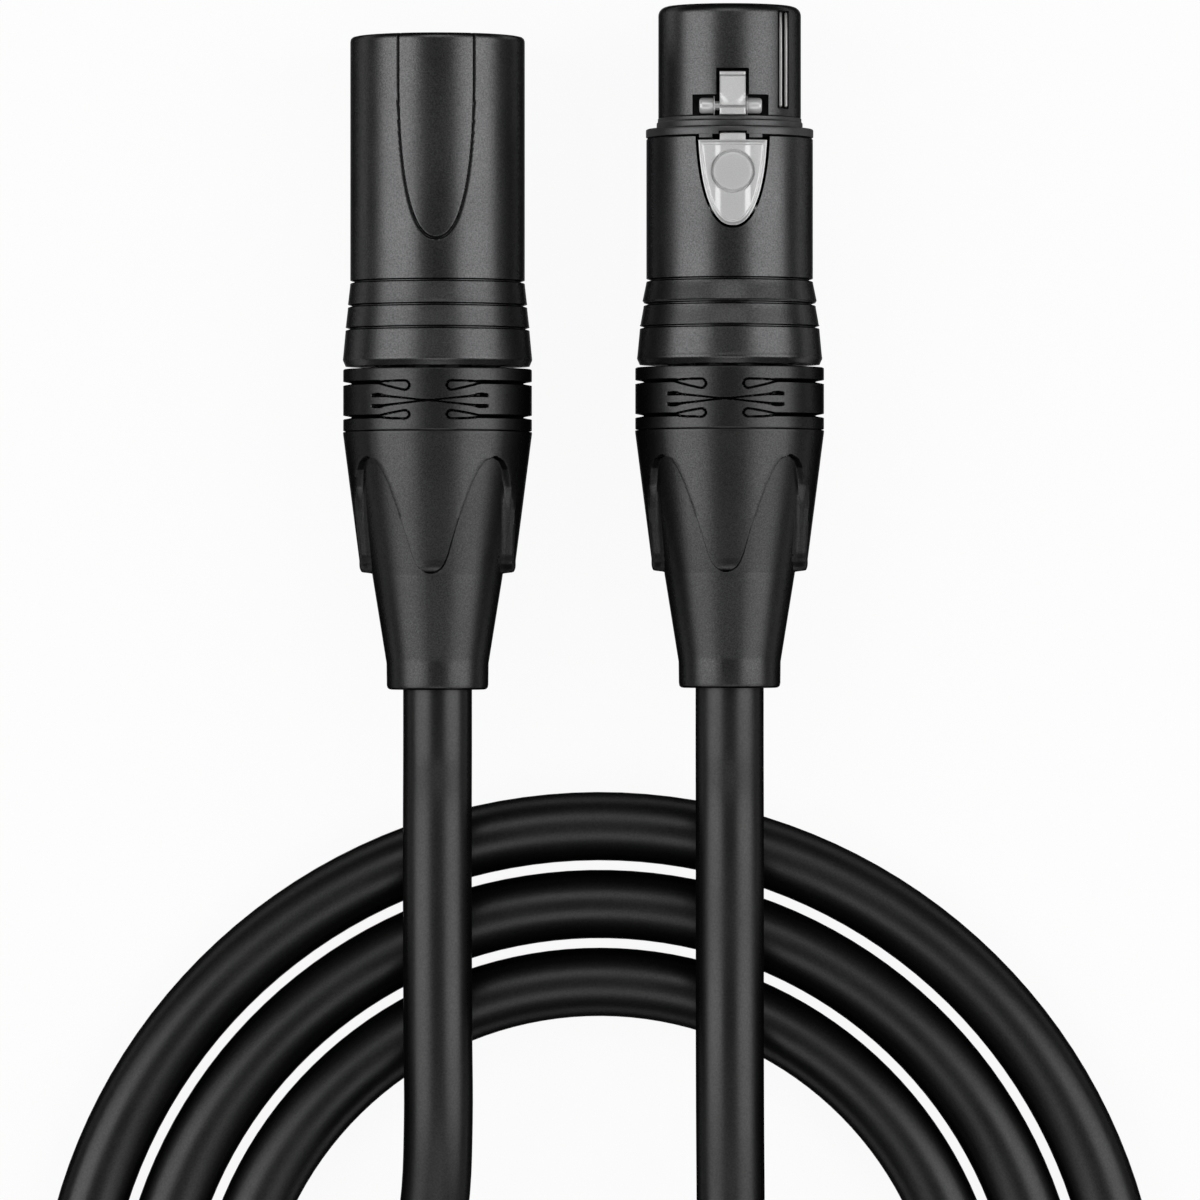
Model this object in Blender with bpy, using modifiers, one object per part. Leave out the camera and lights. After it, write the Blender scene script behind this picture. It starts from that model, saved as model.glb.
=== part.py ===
"""Coiled microphone cable with a male and a female three-pole connector.

Units are metres and +Z is up. The cable lies on the plane Z = 0. Both connectors point along +Y,
and the coil lies below them, towards -Y. The origin is the middle of the two connectors' outline,
on the plane they rest on.

Each connector is modelled upright in its own frame, which an empty lays down: its axis is local
+Z, from the boot's mouth at Z = 0 to the tip, and local -Y is the side that faces up, with the
latch. Profiles are lists of (radius, height), outer side first, from top to bottom.
"""
import math

import bmesh
import bpy
import numpy as np
from mathutils import Matrix, Vector

# Clearances
GAP = 0.0003                       # between pieces that rest on each other
RUNNING_CLEARANCE = 0.0001         # round a pin that turns
OVERCUT = 0.001                    # how far a cutter runs past what it cuts

# Cord and coil
CORD_DIAMETER = 0.0076
COIL_CENTRE_X = 0.00176
COIL_CENTRE_Y = -0.11179
COIL_INNER_RADIUS = 0.04155        # centre line of the innermost turn
COIL_TURN_SPACING = 0.00864        # from one turn's centre line to the next
COIL_TURNS = 3
COIL_POINTS_PER_TURN = 24
COIL_STEP_START = 170.0            # degrees, where a turn begins to move out to the next lane
COIL_STEP_SWEEP = 160.0            # degrees
COIL_END_ANGLE = 185.0             # degrees, where the outermost turn ends
COIL_INNER_END_ANGLE = -40.0       # degrees, where the innermost turn begins
COIL_INNER_END_SWEEP = 55.0        # degrees over which it swings out from inside the ring
COIL_INNER_END_INSET = 0.004

# Route of the male connector's lead after its boot, and of the female's before its boot
MALE_LEAD_ROUTE = [
    (-0.01610, -0.0505, 0.01150), (-0.01610, -0.0565, 0.01195), (-0.01608, -0.0660, 0.01190),
    (-0.01604, -0.0760, 0.01185), (-0.01600, -0.0850, 0.01130), (-0.01640, -0.0940, 0.00985),
    (-0.01800, -0.1035, 0.00760), (-0.02050, -0.1135, 0.00520), (-0.02190, -0.1240, 0.00390),
    (-0.02060, -0.1333, 0.00380), (-0.01620, -0.1411, 0.00380), (-0.00950, -0.1467, 0.00380),
    (-0.00120, -0.1497, 0.00380), (0.00750, -0.1498, 0.00380),
]
FEMALE_LEAD_ROUTE = [
    (-0.05230, -0.1398, 0.00390), (-0.04720, -0.1468, 0.00470), (-0.04180, -0.1540, 0.00680),
    (-0.03460, -0.1601, 0.00980), (-0.02580, -0.1642, 0.01170), (-0.01600, -0.1654, 0.01210),
    (-0.00640, -0.1632, 0.01210), (0.00200, -0.1578, 0.01210), (0.00860, -0.1501, 0.01210),
    (0.01310, -0.1408, 0.01180), (0.01560, -0.1308, 0.01090), (0.01630, -0.1198, 0.00990),
    (0.01630, -0.1078, 0.00970), (0.01622, -0.0958, 0.01060), (0.01614, -0.0858, 0.01150),
    (0.01610, -0.0760, 0.01190), (0.01610, -0.0660, 0.01190), (0.01610, -0.0565, 0.01195),
    (0.01610, -0.0505, 0.01150),
]
LEAD_POINT_SPACING = 2.0           # distance between a lead's points, in cord diameters

# Connector places
AXIS_SPACING = 0.0322              # between the two connectors' axes
MOUTH_OFFSET = 0.0002              # how much lower the male connector's boot ends

# Boot
BOOT_LENGTH = 0.0284
BOOT_PROUD = 0.00005               # how far its top stands out past the collar
BOOT_SKIRT_LENGTH = 0.0142         # the outer cone, down to the lobes' ends
BOOT_SKIRT_END_RADIUS = 0.0086
BOOT_STEP_HEIGHT = 0.0009
BOOT_WAIST_RADIUS = 0.0074         # where the inner cone comes out below the lobes
BOOT_MOUTH_RADIUS = 0.0056
BOOT_MOUTH_LENGTH = 0.0030
BOOT_EDGE = 0.0003
BOOT_ROLL = 5.5                    # degrees, how far boots and collars are turned on their axes
SCALLOP_COUNT = 4
SCALLOP_HALF_WIDTH = 0.0045
SCALLOP_HEIGHT = 0.0121
SCALLOP_FLOOR_TOP_RADIUS = 0.0091
SCALLOP_LEDGE = 0.0001             # left round the waist below the scallops

# Collar, neck and chuck
COLLAR_LENGTH = 0.0066
COLLAR_RADIUS = 0.0104
COLLAR_EDGE = 0.0002
COLLAR_SLOT_WIDTH = 0.0004
COLLAR_SLOT_DEPTH = 0.0009
COLLAR_SLOT_INSET = 0.00155        # from the collar's ends to its slots
COLLAR_BRIDGE_WIDTH = 0.0041       # left solid at the front and back between slot ends
COLLAR_SLOT_END_RADIUS = 0.0005
COLLAR_WALL_SHARE = 0.298          # of the walls between the cord's bore and the collar's face
NECK_WALL_SHARE = 0.21
NECK_ENGAGEMENT = 0.0014           # how far the neck reaches into the boot
CHUCK_LENGTH = 0.0080
CHUCK_SLIT_WIDTH = 0.0008

# Cable inside the connectors
TAIL_INSET = 0.0010                # the jacket's end piece starts this far inside the boot
TAIL_LENGTH = 0.0370
WIRE_RADIUS = 0.0005
WIRE_SPREAD_RADIUS = 0.0017        # where the wires leave the jacket
WIRE_IN_CUP = 0.0020

# Shells
REAR_CHAMFER_LENGTH = 0.00055
REAR_CHAMFER_DEPTH = 0.0003
BAND_LENGTH = 0.00115
RIDGE_COUNT = 3
RIDGE_PITCH = 0.00258
LINE_WIDTH = 0.0003
LINE_DEPTH = 0.0003
MALE_BARREL_RADIUS = 0.00962
MALE_BARREL_LENGTH = 0.02727
MALE_BAND_RADIUS = 0.01044
MALE_RIDGE_FLARE = 0.00033
MALE_RIM_EDGE = 0.0004
FEMALE_BARREL_RADIUS = 0.00918
FEMALE_BARREL_LENGTH = 0.01561
FEMALE_BAND_RADIUS = 0.01022
FEMALE_RIDGE_FLARE = 0.0005
FEMALE_RIM_EDGE = 0.00015

# Tongue-shaped groove on the male barrel
TONGUE_HALF_WIDTH = 0.00429
TONGUE_LENGTH = 0.0228
TONGUE_TIP_LENGTH = 0.0181
TONGUE_LINE_WIDTH = 0.0004
TONGUE_LINE_DEPTH = 0.0003

# Male cup, insert and pins
CUP_CLEARANCE = 0.00034            # between the female nose and the male cup
CUP_DEPTH = 0.0158
MALE_INSERT_THICKNESS = 0.0062
PIN_RADIUS = 0.0012
PIN_RECESS = 0.0013
PIN_TIP_LENGTH = 0.0007
CONTACT_CIRCLE_RADIUS = 0.0040
CONTACT_ANGLES = (0.0, 180.0, 90.0)
CONTACT_TAIL_LENGTH = 0.0043
SOLDER_CUP_RADIUS = 0.0008
SOLDER_CUP_DEPTH = 0.0025

# Female nose, flange, insert and sockets
NOSE_RADIUS = 0.00786
NOSE_WALL = 0.00096
NOSE_LENGTH = 0.01262
NOSE_EDGE = 0.0010
NOSE_CHAMFER = 0.0005
SHOULDER_RADIUS = 0.00805
SHOULDER_THICKNESS = 0.0007
FLANGE_RADIUS = 0.00923
FLANGE_THICKNESS = 0.0007
FLANGE_TAB_WIDTH = 0.0015
FLANGE_TAB_OFFSET = 0.0027
FLANGE_TAB_DROP = 0.00045
FLANGE_TAB_DEPTH = 0.0018
INSERT_RECESS = 0.0005
SOCKET_RADIUS = 0.0015
SOCKET_BORE_RADIUS = 0.00125
SOCKET_BORE_DEPTH = 0.0140
SOCKET_RECESS = 0.0007
FEMALE_INSERT_LENGTH = 0.0248
FEMALE_BORE_RADIUS = 0.0076
SEAT_LIP_RADIUS = 0.0062
SEAT_LIP_THICKNESS = 0.0012

# Ground contact in the nose
GROUND_ANGLE = 49.0                # degrees from the latch
GROUND_WIDTH = 0.0013
GROUND_LENGTH = 0.0104
GROUND_END_MARGIN = 0.0008         # from the nose's tip to its slot
GROUND_GROOVE_WIDTH = 0.0004
GROUND_PROUD = 0.0001

# Latch, whose heights are measured down from the flange's lower face
LATCH_HALF_WIDTH = 0.00141
LATCH_SIDE_GAP = 0.0004
TAB_HALF_WIDTH = 0.0038
TAB_TIP_LENGTH = 0.0123
TAB_TIP_CENTRE = 0.00207           # how far the tip's ellipse is centred above the flange
TAB_FRONT_DROP = 0.00085
TAB_OUTER_RADIUS = 0.0093
TAB_THICKNESS = 0.0014
TAB_DISC_RADIUS = 0.00236
TAB_DISC_DROP = 0.00405
TAB_DISC_PROUD = 0.00005
HOOK_TIP_RISE = 0.00675
HOOK_TOP = 0.00895                 # distance from the connector's axis
ARM_BOTTOM = 0.0053
ARM_THICKNESS = 0.0011
CROSS_PIN_RISE = 0.0030
CROSS_PIN_RADIUS = 0.00085
CROSS_PIN_NECK_RADIUS = 0.0005
CROSS_PIN_HALF_LENGTH = 0.0036
CROSS_PIN_HEIGHT = 0.0069
T_WINDOW_WIDTH = 0.00834
T_WINDOW_LENGTH = 0.00255
PIVOT_RADIUS = 0.0005
PIVOT_HALF_LENGTH = 0.0043
PIVOT_DROP = 0.0085
PIVOT_HEIGHT = 0.0070
LUG_HALF_WIDTH = 0.0010
LUG_HALF_LENGTH = 0.0010
LUG_DEPTH = 0.0014
CHANNEL_FLOOR = 0.0036
POCKET_FLOOR = 0.0044
SPRING_COIL_RADIUS = 0.0010
SPRING_WIRE_RADIUS = 0.0002
SPRING_TURNS = 3.5
SPRING_POINTS_PER_TURN = 8
SPRING_DROP = 0.0045

# Facets
OUTER_STEPS = 40
INNER_STEPS = 28
PIN_STEPS = 12
ARC_POINTS = 12

# Derived sizes
CORD_RADIUS = CORD_DIAMETER / 2
BORE_RADIUS = CORD_RADIUS + GAP
BOOT_TOP_RADIUS = COLLAR_RADIUS + BOOT_PROUD
WALLS = COLLAR_RADIUS - BORE_RADIUS - 2 * GAP
COLLAR_WALL = COLLAR_WALL_SHARE * WALLS
NECK_WALL = NECK_WALL_SHARE * WALLS
NECK_RADIUS = COLLAR_RADIUS - COLLAR_WALL - GAP
AXIS_HEIGHT = max(BOOT_TOP_RADIUS, COLLAR_RADIUS, MALE_BAND_RADIUS, FEMALE_BAND_RADIUS)
BOOT_SKIRT_END = BOOT_LENGTH - BOOT_SKIRT_LENGTH
COLLAR_BOTTOM = BOOT_LENGTH + GAP
COLLAR_TOP = COLLAR_BOTTOM + COLLAR_LENGTH
SHELL_REAR = COLLAR_TOP + GAP
BARREL_REAR = SHELL_REAR + REAR_CHAMFER_LENGTH + BAND_LENGTH + RIDGE_COUNT * RIDGE_PITCH
NECK_END = BOOT_LENGTH - NECK_ENGAGEMENT
NECK_BORE_RADIUS = NECK_RADIUS - NECK_WALL
TAIL_END = TAIL_INSET + TAIL_LENGTH
MALE_LENGTH = BARREL_REAR + MALE_BARREL_LENGTH
CUP_BORE_RADIUS = NOSE_RADIUS + CUP_CLEARANCE
MALE_INSERT_FRONT = MALE_LENGTH - CUP_DEPTH
MALE_INSERT_REAR = MALE_INSERT_FRONT - MALE_INSERT_THICKNESS
FEMALE_SHELL_FRONT = BARREL_REAR + FEMALE_BARREL_LENGTH
FLANGE_BOTTOM = FEMALE_SHELL_FRONT + GAP
FLANGE_TOP = FLANGE_BOTTOM + FLANGE_THICKNESS + SHOULDER_THICKNESS
NOSE_BOTTOM = FLANGE_TOP + GAP
FEMALE_LENGTH = NOSE_BOTTOM + NOSE_LENGTH
NOSE_BORE_RADIUS = NOSE_RADIUS - NOSE_WALL
FEMALE_INSERT_RADIUS = NOSE_BORE_RADIUS - GAP
FEMALE_INSERT_FRONT = FEMALE_LENGTH - INSERT_RECESS
FEMALE_INSERT_REAR = FEMALE_INSERT_FRONT - FEMALE_INSERT_LENGTH
SOCKET_FRONT = FEMALE_INSERT_FRONT - SOCKET_RECESS
TAB_INNER_RADIUS = TAB_OUTER_RADIUS - TAB_THICKNESS
TAB_FRONT = FLANGE_BOTTOM - TAB_FRONT_DROP
TAB_ELLIPSE_CENTRE = FLANGE_BOTTOM + TAB_TIP_CENTRE
HOOK_TIP = FLANGE_BOTTOM + HOOK_TIP_RISE
CROSS_PIN_STATION = FLANGE_BOTTOM + CROSS_PIN_RISE
PIVOT_STATION = FLANGE_BOTTOM - PIVOT_DROP
SPRING_STATION = FLANGE_BOTTOM - SPRING_DROP
ARM_TOP = ARM_BOTTOM + ARM_THICKNESS
LATCH_SLOT_HALF_WIDTH = LATCH_HALF_WIDTH + LATCH_SIDE_GAP
OVERALL_LENGTH = FEMALE_LENGTH + MOUTH_OFFSET
MALE_MOUTH_Y = -OVERALL_LENGTH / 2
FEMALE_MOUTH_Y = OVERALL_LENGTH / 2 - FEMALE_LENGTH

# How an outline drawn in the XY plane is stood up in a connector's frame
SIDE_VIEW = Matrix(((0, 0, 1, 0), (0, -1, 0, 0), (1, 0, 0, 0), (0, 0, 0, 1)))
TOP_VIEW = Matrix(((1, 0, 0, 0), (0, 0, -1, 0), (0, 1, 0, 0), (0, 0, 0, 1)))
ALONG_X = Matrix.Rotation(math.radians(90), 4, "Y")


def clear_scene():
    """Remove every object, and the collections and materials of an earlier run."""
    for obj in list(bpy.data.objects):
        bpy.data.objects.remove(obj, do_unlink=True)
    for collection in list(bpy.data.collections):
        bpy.data.collections.remove(collection)
    for material in list(bpy.data.materials):
        bpy.data.materials.remove(material)


def new_collection(name):
    """Make a collection in the scene."""
    collection = bpy.data.collections.new(name)
    bpy.context.scene.collection.children.link(collection)
    return collection


def finish_material(name, colour, roughness, metallic):
    """Make a Principled material."""
    material = bpy.data.materials.new(name)
    material.use_nodes = True
    shader = material.node_tree.nodes["Principled BSDF"]
    shader.inputs["Base Color"].default_value = (*colour, 1.0)
    shader.inputs["Roughness"].default_value = roughness
    shader.inputs["Metallic"].default_value = metallic
    return material


def add_object(name, data, frame, matrix, material):
    """Put a piece in the cable's collection, or a cutter, which has no material, in the other."""
    obj = bpy.data.objects.new(name, data)
    obj.parent = frame
    obj.matrix_local = matrix
    if material is None:
        CUTTERS.objects.link(obj)
        obj.hide_render = True
        obj.display_type = "WIRE"
    else:
        CABLE.objects.link(obj)
        obj.data.materials.append(material)
    return obj


def smooth_round(obj, angle=35.0):
    """Shade round faces smooth and keep edges sharper than the angle."""
    obj.data.shade_smooth()
    obj.data.set_sharp_from_angle(angle=math.radians(angle))


def turned(name, profile, frame, material=None, steps=OUTER_STEPS, matrix=Matrix()):
    """Turn a profile about the axis. One that starts off the axis is a closed ring."""
    mesh = bpy.data.meshes.new(name)
    count = len(profile)
    edges = [(index, index + 1) for index in range(count - 1)]
    if profile[0][0] > 0:
        edges.append((count - 1, 0))
    mesh.from_pydata([(radius, 0.0, height) for radius, height in profile], edges, [])
    obj = add_object(name, mesh, frame, matrix, material)
    screw = obj.modifiers.new("Screw", "SCREW")
    screw.axis = "Z"
    screw.angle = math.tau
    screw.steps = steps
    screw.render_steps = steps
    screw.use_merge_vertices = True
    screw.merge_threshold = 0.00001
    return obj


def cylinder(name, radius, length, frame, matrix, material=None, steps=PIN_STEPS):
    """Make a cylinder centred on its matrix's origin, along its Z axis."""
    shape = bmesh.new()
    bmesh.ops.create_cone(shape, cap_ends=True, segments=steps, radius1=radius, radius2=radius,
                          depth=length)
    mesh = bpy.data.meshes.new(name)
    shape.to_mesh(mesh)
    shape.free()
    obj = add_object(name, mesh, frame, matrix, material)
    smooth_round(obj)
    return obj


def box(name, low, high, frame, material=None, matrix=Matrix()):
    """Make a box between two corners."""
    low, high = Vector(low), Vector(high)
    shape = bmesh.new()
    bmesh.ops.create_cube(shape, size=1.0)
    bmesh.ops.scale(shape, vec=high - low, verts=shape.verts)
    bmesh.ops.translate(shape, vec=(low + high) / 2, verts=shape.verts)
    mesh = bpy.data.meshes.new(name)
    shape.to_mesh(mesh)
    shape.free()
    return add_object(name, mesh, frame, matrix, material)


def mesh_from_curve(name, curve, frame, matrix, material):
    """Turn a curve into a mesh object with welded caps."""
    source = bpy.data.objects.new(name + "_curve", curve)
    bpy.context.scene.collection.objects.link(source)
    graph = bpy.context.evaluated_depsgraph_get()
    mesh = bpy.data.meshes.new_from_object(source.evaluated_get(graph))
    bpy.data.objects.remove(source, do_unlink=True)
    shape = bmesh.new()
    shape.from_mesh(mesh)
    bmesh.ops.remove_doubles(shape, verts=shape.verts, dist=0.000001)
    bmesh.ops.recalc_face_normals(shape, faces=shape.faces)
    shape.to_mesh(mesh)
    shape.free()
    obj = add_object(name, mesh, frame, matrix, material)
    smooth_round(obj)
    return obj


def plate(name, outline, low, high, frame, view, material=None):
    """Extrude a flat outline from one level to another along its view's axis."""
    curve = bpy.data.curves.new(name, "CURVE")
    curve.dimensions = "2D"
    curve.fill_mode = "BOTH"
    curve.extrude = (high - low) / 2
    spline = curve.splines.new("POLY")
    spline.points.add(len(outline) - 1)
    for point, (across, along) in zip(spline.points, outline):
        point.co = (across, along, 0.0, 1.0)
    spline.use_cyclic_u = True
    matrix = view @ Matrix.Translation((0.0, 0.0, (low + high) / 2))
    return mesh_from_curve(name, curve, frame, matrix, material)


def tube(name, points, radius, resolution, material, frame=None, tilt=0.0):
    """Run a round tube with closed ends along points, its facets turned by the tilt."""
    curve = bpy.data.curves.new(name, "CURVE")
    curve.dimensions = "3D"
    curve.bevel_depth = radius
    curve.bevel_resolution = resolution
    curve.use_fill_caps = True
    spline = curve.splines.new("POLY")
    spline.points.add(len(points) - 1)
    for point, place in zip(spline.points, points):
        point.co = (*place, 1.0)
        point.tilt = tilt
    return mesh_from_curve(name, curve, frame, Matrix(), material)


def boolean(target, other, operation="DIFFERENCE"):
    """Cut, join or intersect a piece with another, by an exact Boolean."""
    modifier = target.modifiers.new(other.name, "BOOLEAN")
    modifier.object = other
    modifier.operation = operation
    modifier.solver = "EXACT"


def connector_frame(name, axis_x, mouth_y):
    """Make the empty that lays a connector down with its tip towards +Y."""
    frame = bpy.data.objects.new(name, None)
    frame.location = (axis_x, mouth_y, AXIS_HEIGHT)
    frame.rotation_euler = (math.radians(-90), 0.0, 0.0)
    CABLE.objects.link(frame)
    bpy.context.view_layer.update()
    return frame


def rolled(angle):
    """Give a turn about the connector's axis, counted from the side that faces up."""
    return Matrix.Rotation(math.radians(angle), 4, "Z")


def arch_outline(half_width, height, base, foot):
    """Draw a half ellipse that stands on a straight-sided foot."""
    points = [(-half_width, foot)]
    for index in range(ARC_POINTS + 1):
        angle = math.pi * (1 - index / ARC_POINTS)
        points.append((half_width * math.cos(angle), base + height * math.sin(angle)))
    points.append((half_width, foot))
    return points


def tongue_outline(half_width, tip_length, centre, front):
    """Draw a half ellipse that hangs down from straight sides."""
    points = [(half_width, front)]
    for index in range(ARC_POINTS + 1):
        angle = -math.pi * index / ARC_POINTS
        points.append((half_width * math.cos(angle), centre + tip_length * math.sin(angle)))
    points.append((-half_width, front))
    return points


def ridge_profile(barrel_radius, band_radius, flare):
    """Draw the saw-tooth cones from the barrel down to the rear band, a line before each."""
    points = []
    step = (band_radius - barrel_radius - flare) / (RIDGE_COUNT - 1)
    for index in range(RIDGE_COUNT):
        top = BARREL_REAR - index * RIDGE_PITCH
        radius = barrel_radius + index * step
        points += [
            (radius, top), (radius - LINE_DEPTH, top),
            (radius - LINE_DEPTH, top - LINE_WIDTH), (radius, top - LINE_WIDTH),
            (radius + flare, top - RIDGE_PITCH),
        ]
    points[-1] = (band_radius, BARREL_REAR - RIDGE_COUNT * RIDGE_PITCH)
    points += [
        (band_radius, SHELL_REAR + REAR_CHAMFER_LENGTH),
        (band_radius - REAR_CHAMFER_DEPTH, SHELL_REAR),
        (NECK_RADIUS, SHELL_REAR), (NECK_RADIUS, NECK_END), (NECK_BORE_RADIUS, NECK_END),
    ]
    return points


def skirt_radius(height):
    """Give the boot's outer cone radius at a height."""
    share = (height - BOOT_SKIRT_END) / BOOT_SKIRT_LENGTH
    return BOOT_SKIRT_END_RADIUS + share * (BOOT_TOP_RADIUS - BOOT_SKIRT_END_RADIUS)


def make_boot(side, frame):
    """Make the boot: a skirt with arched scallops over a long inner cone."""
    counterbore = NECK_END - GAP
    waist = BOOT_SKIRT_END - BOOT_STEP_HEIGHT
    boot = turned(side + "_boot", [
        (skirt_radius(BOOT_LENGTH) - BOOT_EDGE, BOOT_LENGTH),
        (skirt_radius(BOOT_LENGTH), BOOT_LENGTH - BOOT_EDGE),
        (BOOT_SKIRT_END_RADIUS, BOOT_SKIRT_END),
        (BOOT_WAIST_RADIUS, waist),
        (BOOT_MOUTH_RADIUS, BOOT_MOUTH_LENGTH), (BOOT_MOUTH_RADIUS, BOOT_EDGE),
        (BOOT_MOUTH_RADIUS - BOOT_EDGE, 0.0), (BORE_RADIUS, 0.0), (BORE_RADIUS, counterbore),
        (NECK_RADIUS + GAP, counterbore), (NECK_RADIUS + GAP, BOOT_LENGTH),
    ], frame, BOOT_BLACK)
    top = waist + SCALLOP_HEIGHT
    foot = waist - 2 * OVERCUT
    floor_slope = (SCALLOP_FLOOR_TOP_RADIUS - BOOT_WAIST_RADIUS) / SCALLOP_HEIGHT
    cone_slope = (BOOT_WAIST_RADIUS - BOOT_MOUTH_RADIUS) / (waist - BOOT_MOUTH_LENGTH)
    floor = turned(side + "_scallop_floor", [
        (0.0, top + OVERCUT), (SCALLOP_FLOOR_TOP_RADIUS + floor_slope * OVERCUT, top + OVERCUT),
        (BOOT_WAIST_RADIUS + SCALLOP_LEDGE, waist),
        (BOOT_WAIST_RADIUS + SCALLOP_LEDGE - cone_slope * (waist - foot), foot), (0.0, foot),
    ], frame)
    for index in range(SCALLOP_COUNT):
        name = f"{side}_scallop_{index + 1}"
        outline = arch_outline(SCALLOP_HALF_WIDTH, SCALLOP_HEIGHT, waist, waist - OVERCUT)
        angle = (index + 0.5) * 360.0 / SCALLOP_COUNT - BOOT_ROLL
        scallop = plate(name, outline, BORE_RADIUS + GAP, BOOT_TOP_RADIUS + OVERCUT, frame,
                        rolled(angle) @ TOP_VIEW)
        boolean(scallop, floor)
        boolean(boot, scallop)


def make_collar(side, frame):
    """Make the collar: a ring with two slots round each side."""
    collar = turned(side + "_collar", [
        (COLLAR_RADIUS - COLLAR_EDGE, COLLAR_TOP), (COLLAR_RADIUS, COLLAR_TOP - COLLAR_EDGE),
        (COLLAR_RADIUS, COLLAR_BOTTOM + COLLAR_EDGE),
        (COLLAR_RADIUS - COLLAR_EDGE, COLLAR_BOTTOM),
        (NECK_RADIUS + GAP, COLLAR_BOTTOM), (NECK_RADIUS + GAP, COLLAR_TOP),
    ], frame, COLLAR_BLACK)
    floor_radius = COLLAR_RADIUS - COLLAR_SLOT_DEPTH
    outer_radius = COLLAR_RADIUS + OVERCUT
    bridge = box(side + "_collar_bridge",
                 (-COLLAR_BRIDGE_WIDTH / 2, -2 * outer_radius, 0.0),
                 (COLLAR_BRIDGE_WIDTH / 2, 2 * outer_radius, COLLAR_TOP + OVERCUT), frame,
                 matrix=rolled(-BOOT_ROLL))
    heights = (COLLAR_TOP - COLLAR_SLOT_INSET, COLLAR_BOTTOM + COLLAR_SLOT_INSET)
    for index, height in enumerate(heights):
        top = height + COLLAR_SLOT_WIDTH / 2
        bottom = height - COLLAR_SLOT_WIDTH / 2
        slot = turned(f"{side}_collar_slot_{index + 1}", [
            (outer_radius, top), (outer_radius, bottom), (floor_radius, bottom),
            (floor_radius, top),
        ], frame)
        boolean(slot, bridge)
        boolean(collar, slot)
    make_collar_slot_ends(side, collar, heights, frame)


def make_collar_slot_ends(side, collar, heights, frame):
    """Cut the round ends of the collar's slots, on both sides of the front and back bridges."""
    depth = COLLAR_SLOT_DEPTH - COLLAR_EDGE
    length = depth + OVERCUT
    middle = COLLAR_RADIUS - depth + length / 2
    half_angle = math.degrees(math.asin(COLLAR_BRIDGE_WIDTH / 2 / COLLAR_RADIUS))
    for number, facing in enumerate((-half_angle, half_angle, 180 - half_angle, 180 + half_angle)):
        for level, height in enumerate(heights):
            place = rolled(facing - BOOT_ROLL) @ Matrix.Translation((0.0, -middle, height))
            place = place @ Matrix.Rotation(math.radians(90), 4, "X")
            name = f"{side}_collar_slot_end_{number + 1}_{level + 1}"
            boolean(collar, cylinder(name, COLLAR_SLOT_END_RADIUS, length, frame, place))


def make_chuck(side, frame):
    """Make the split clamp that grips the jacket inside the neck."""
    outer_radius = NECK_BORE_RADIUS - GAP
    chuck = turned(side + "_chuck", [
        (outer_radius - NECK_WALL, NECK_END + CHUCK_LENGTH),
        (outer_radius, NECK_END + CHUCK_LENGTH / 2), (outer_radius, NECK_END),
        (BORE_RADIUS, NECK_END), (BORE_RADIUS, NECK_END + CHUCK_LENGTH),
    ], frame, CHUCK_GREY, INNER_STEPS)
    slit = box(side + "_chuck_slit", (-CHUCK_SLIT_WIDTH / 2, 0.0, NECK_END - OVERCUT),
               (CHUCK_SLIT_WIDTH / 2, outer_radius + OVERCUT, NECK_END + CHUCK_LENGTH + OVERCUT),
               frame)
    boolean(chuck, slit)


def contact_place(angle):
    """Give a contact's place across the connector, on the side away from the latch."""
    turn = math.radians(angle)
    return Vector((math.cos(turn), math.sin(turn), 0.0)) * CONTACT_CIRCLE_RADIUS


def make_cable_end(side, frame, cup_end):
    """Make the jacket's end inside the connector and its wires to the solder cups."""
    tail = TAIL_INSET + TAIL_LENGTH / 2
    cylinder(side + "_cable_tail", CORD_RADIUS, TAIL_LENGTH, frame,
             Matrix.Translation((0.0, 0.0, tail)), CORD_BLACK, INNER_STEPS)
    start = TAIL_END + GAP
    end = cup_end + WIRE_IN_CUP
    for index, angle in enumerate(CONTACT_ANGLES):
        far = contact_place(angle)
        near = far * (WIRE_SPREAD_RADIUS / CONTACT_CIRCLE_RADIUS)
        reach = cup_end - start
        points = [near + Vector((0.0, 0.0, start))]
        for step in range(1, ARC_POINTS // 2):
            share = step / (ARC_POINTS // 2)
            ease = share * share * (3 - 2 * share)
            points.append(near.lerp(far, ease) + Vector((0.0, 0.0, start + share * reach)))
        points += [far + Vector((0.0, 0.0, cup_end)), far + Vector((0.0, 0.0, end))]
        tube(f"{side}_wire_{index + 1}", points, WIRE_RADIUS, 1, WIRE_FINISHES[index], frame)


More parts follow.
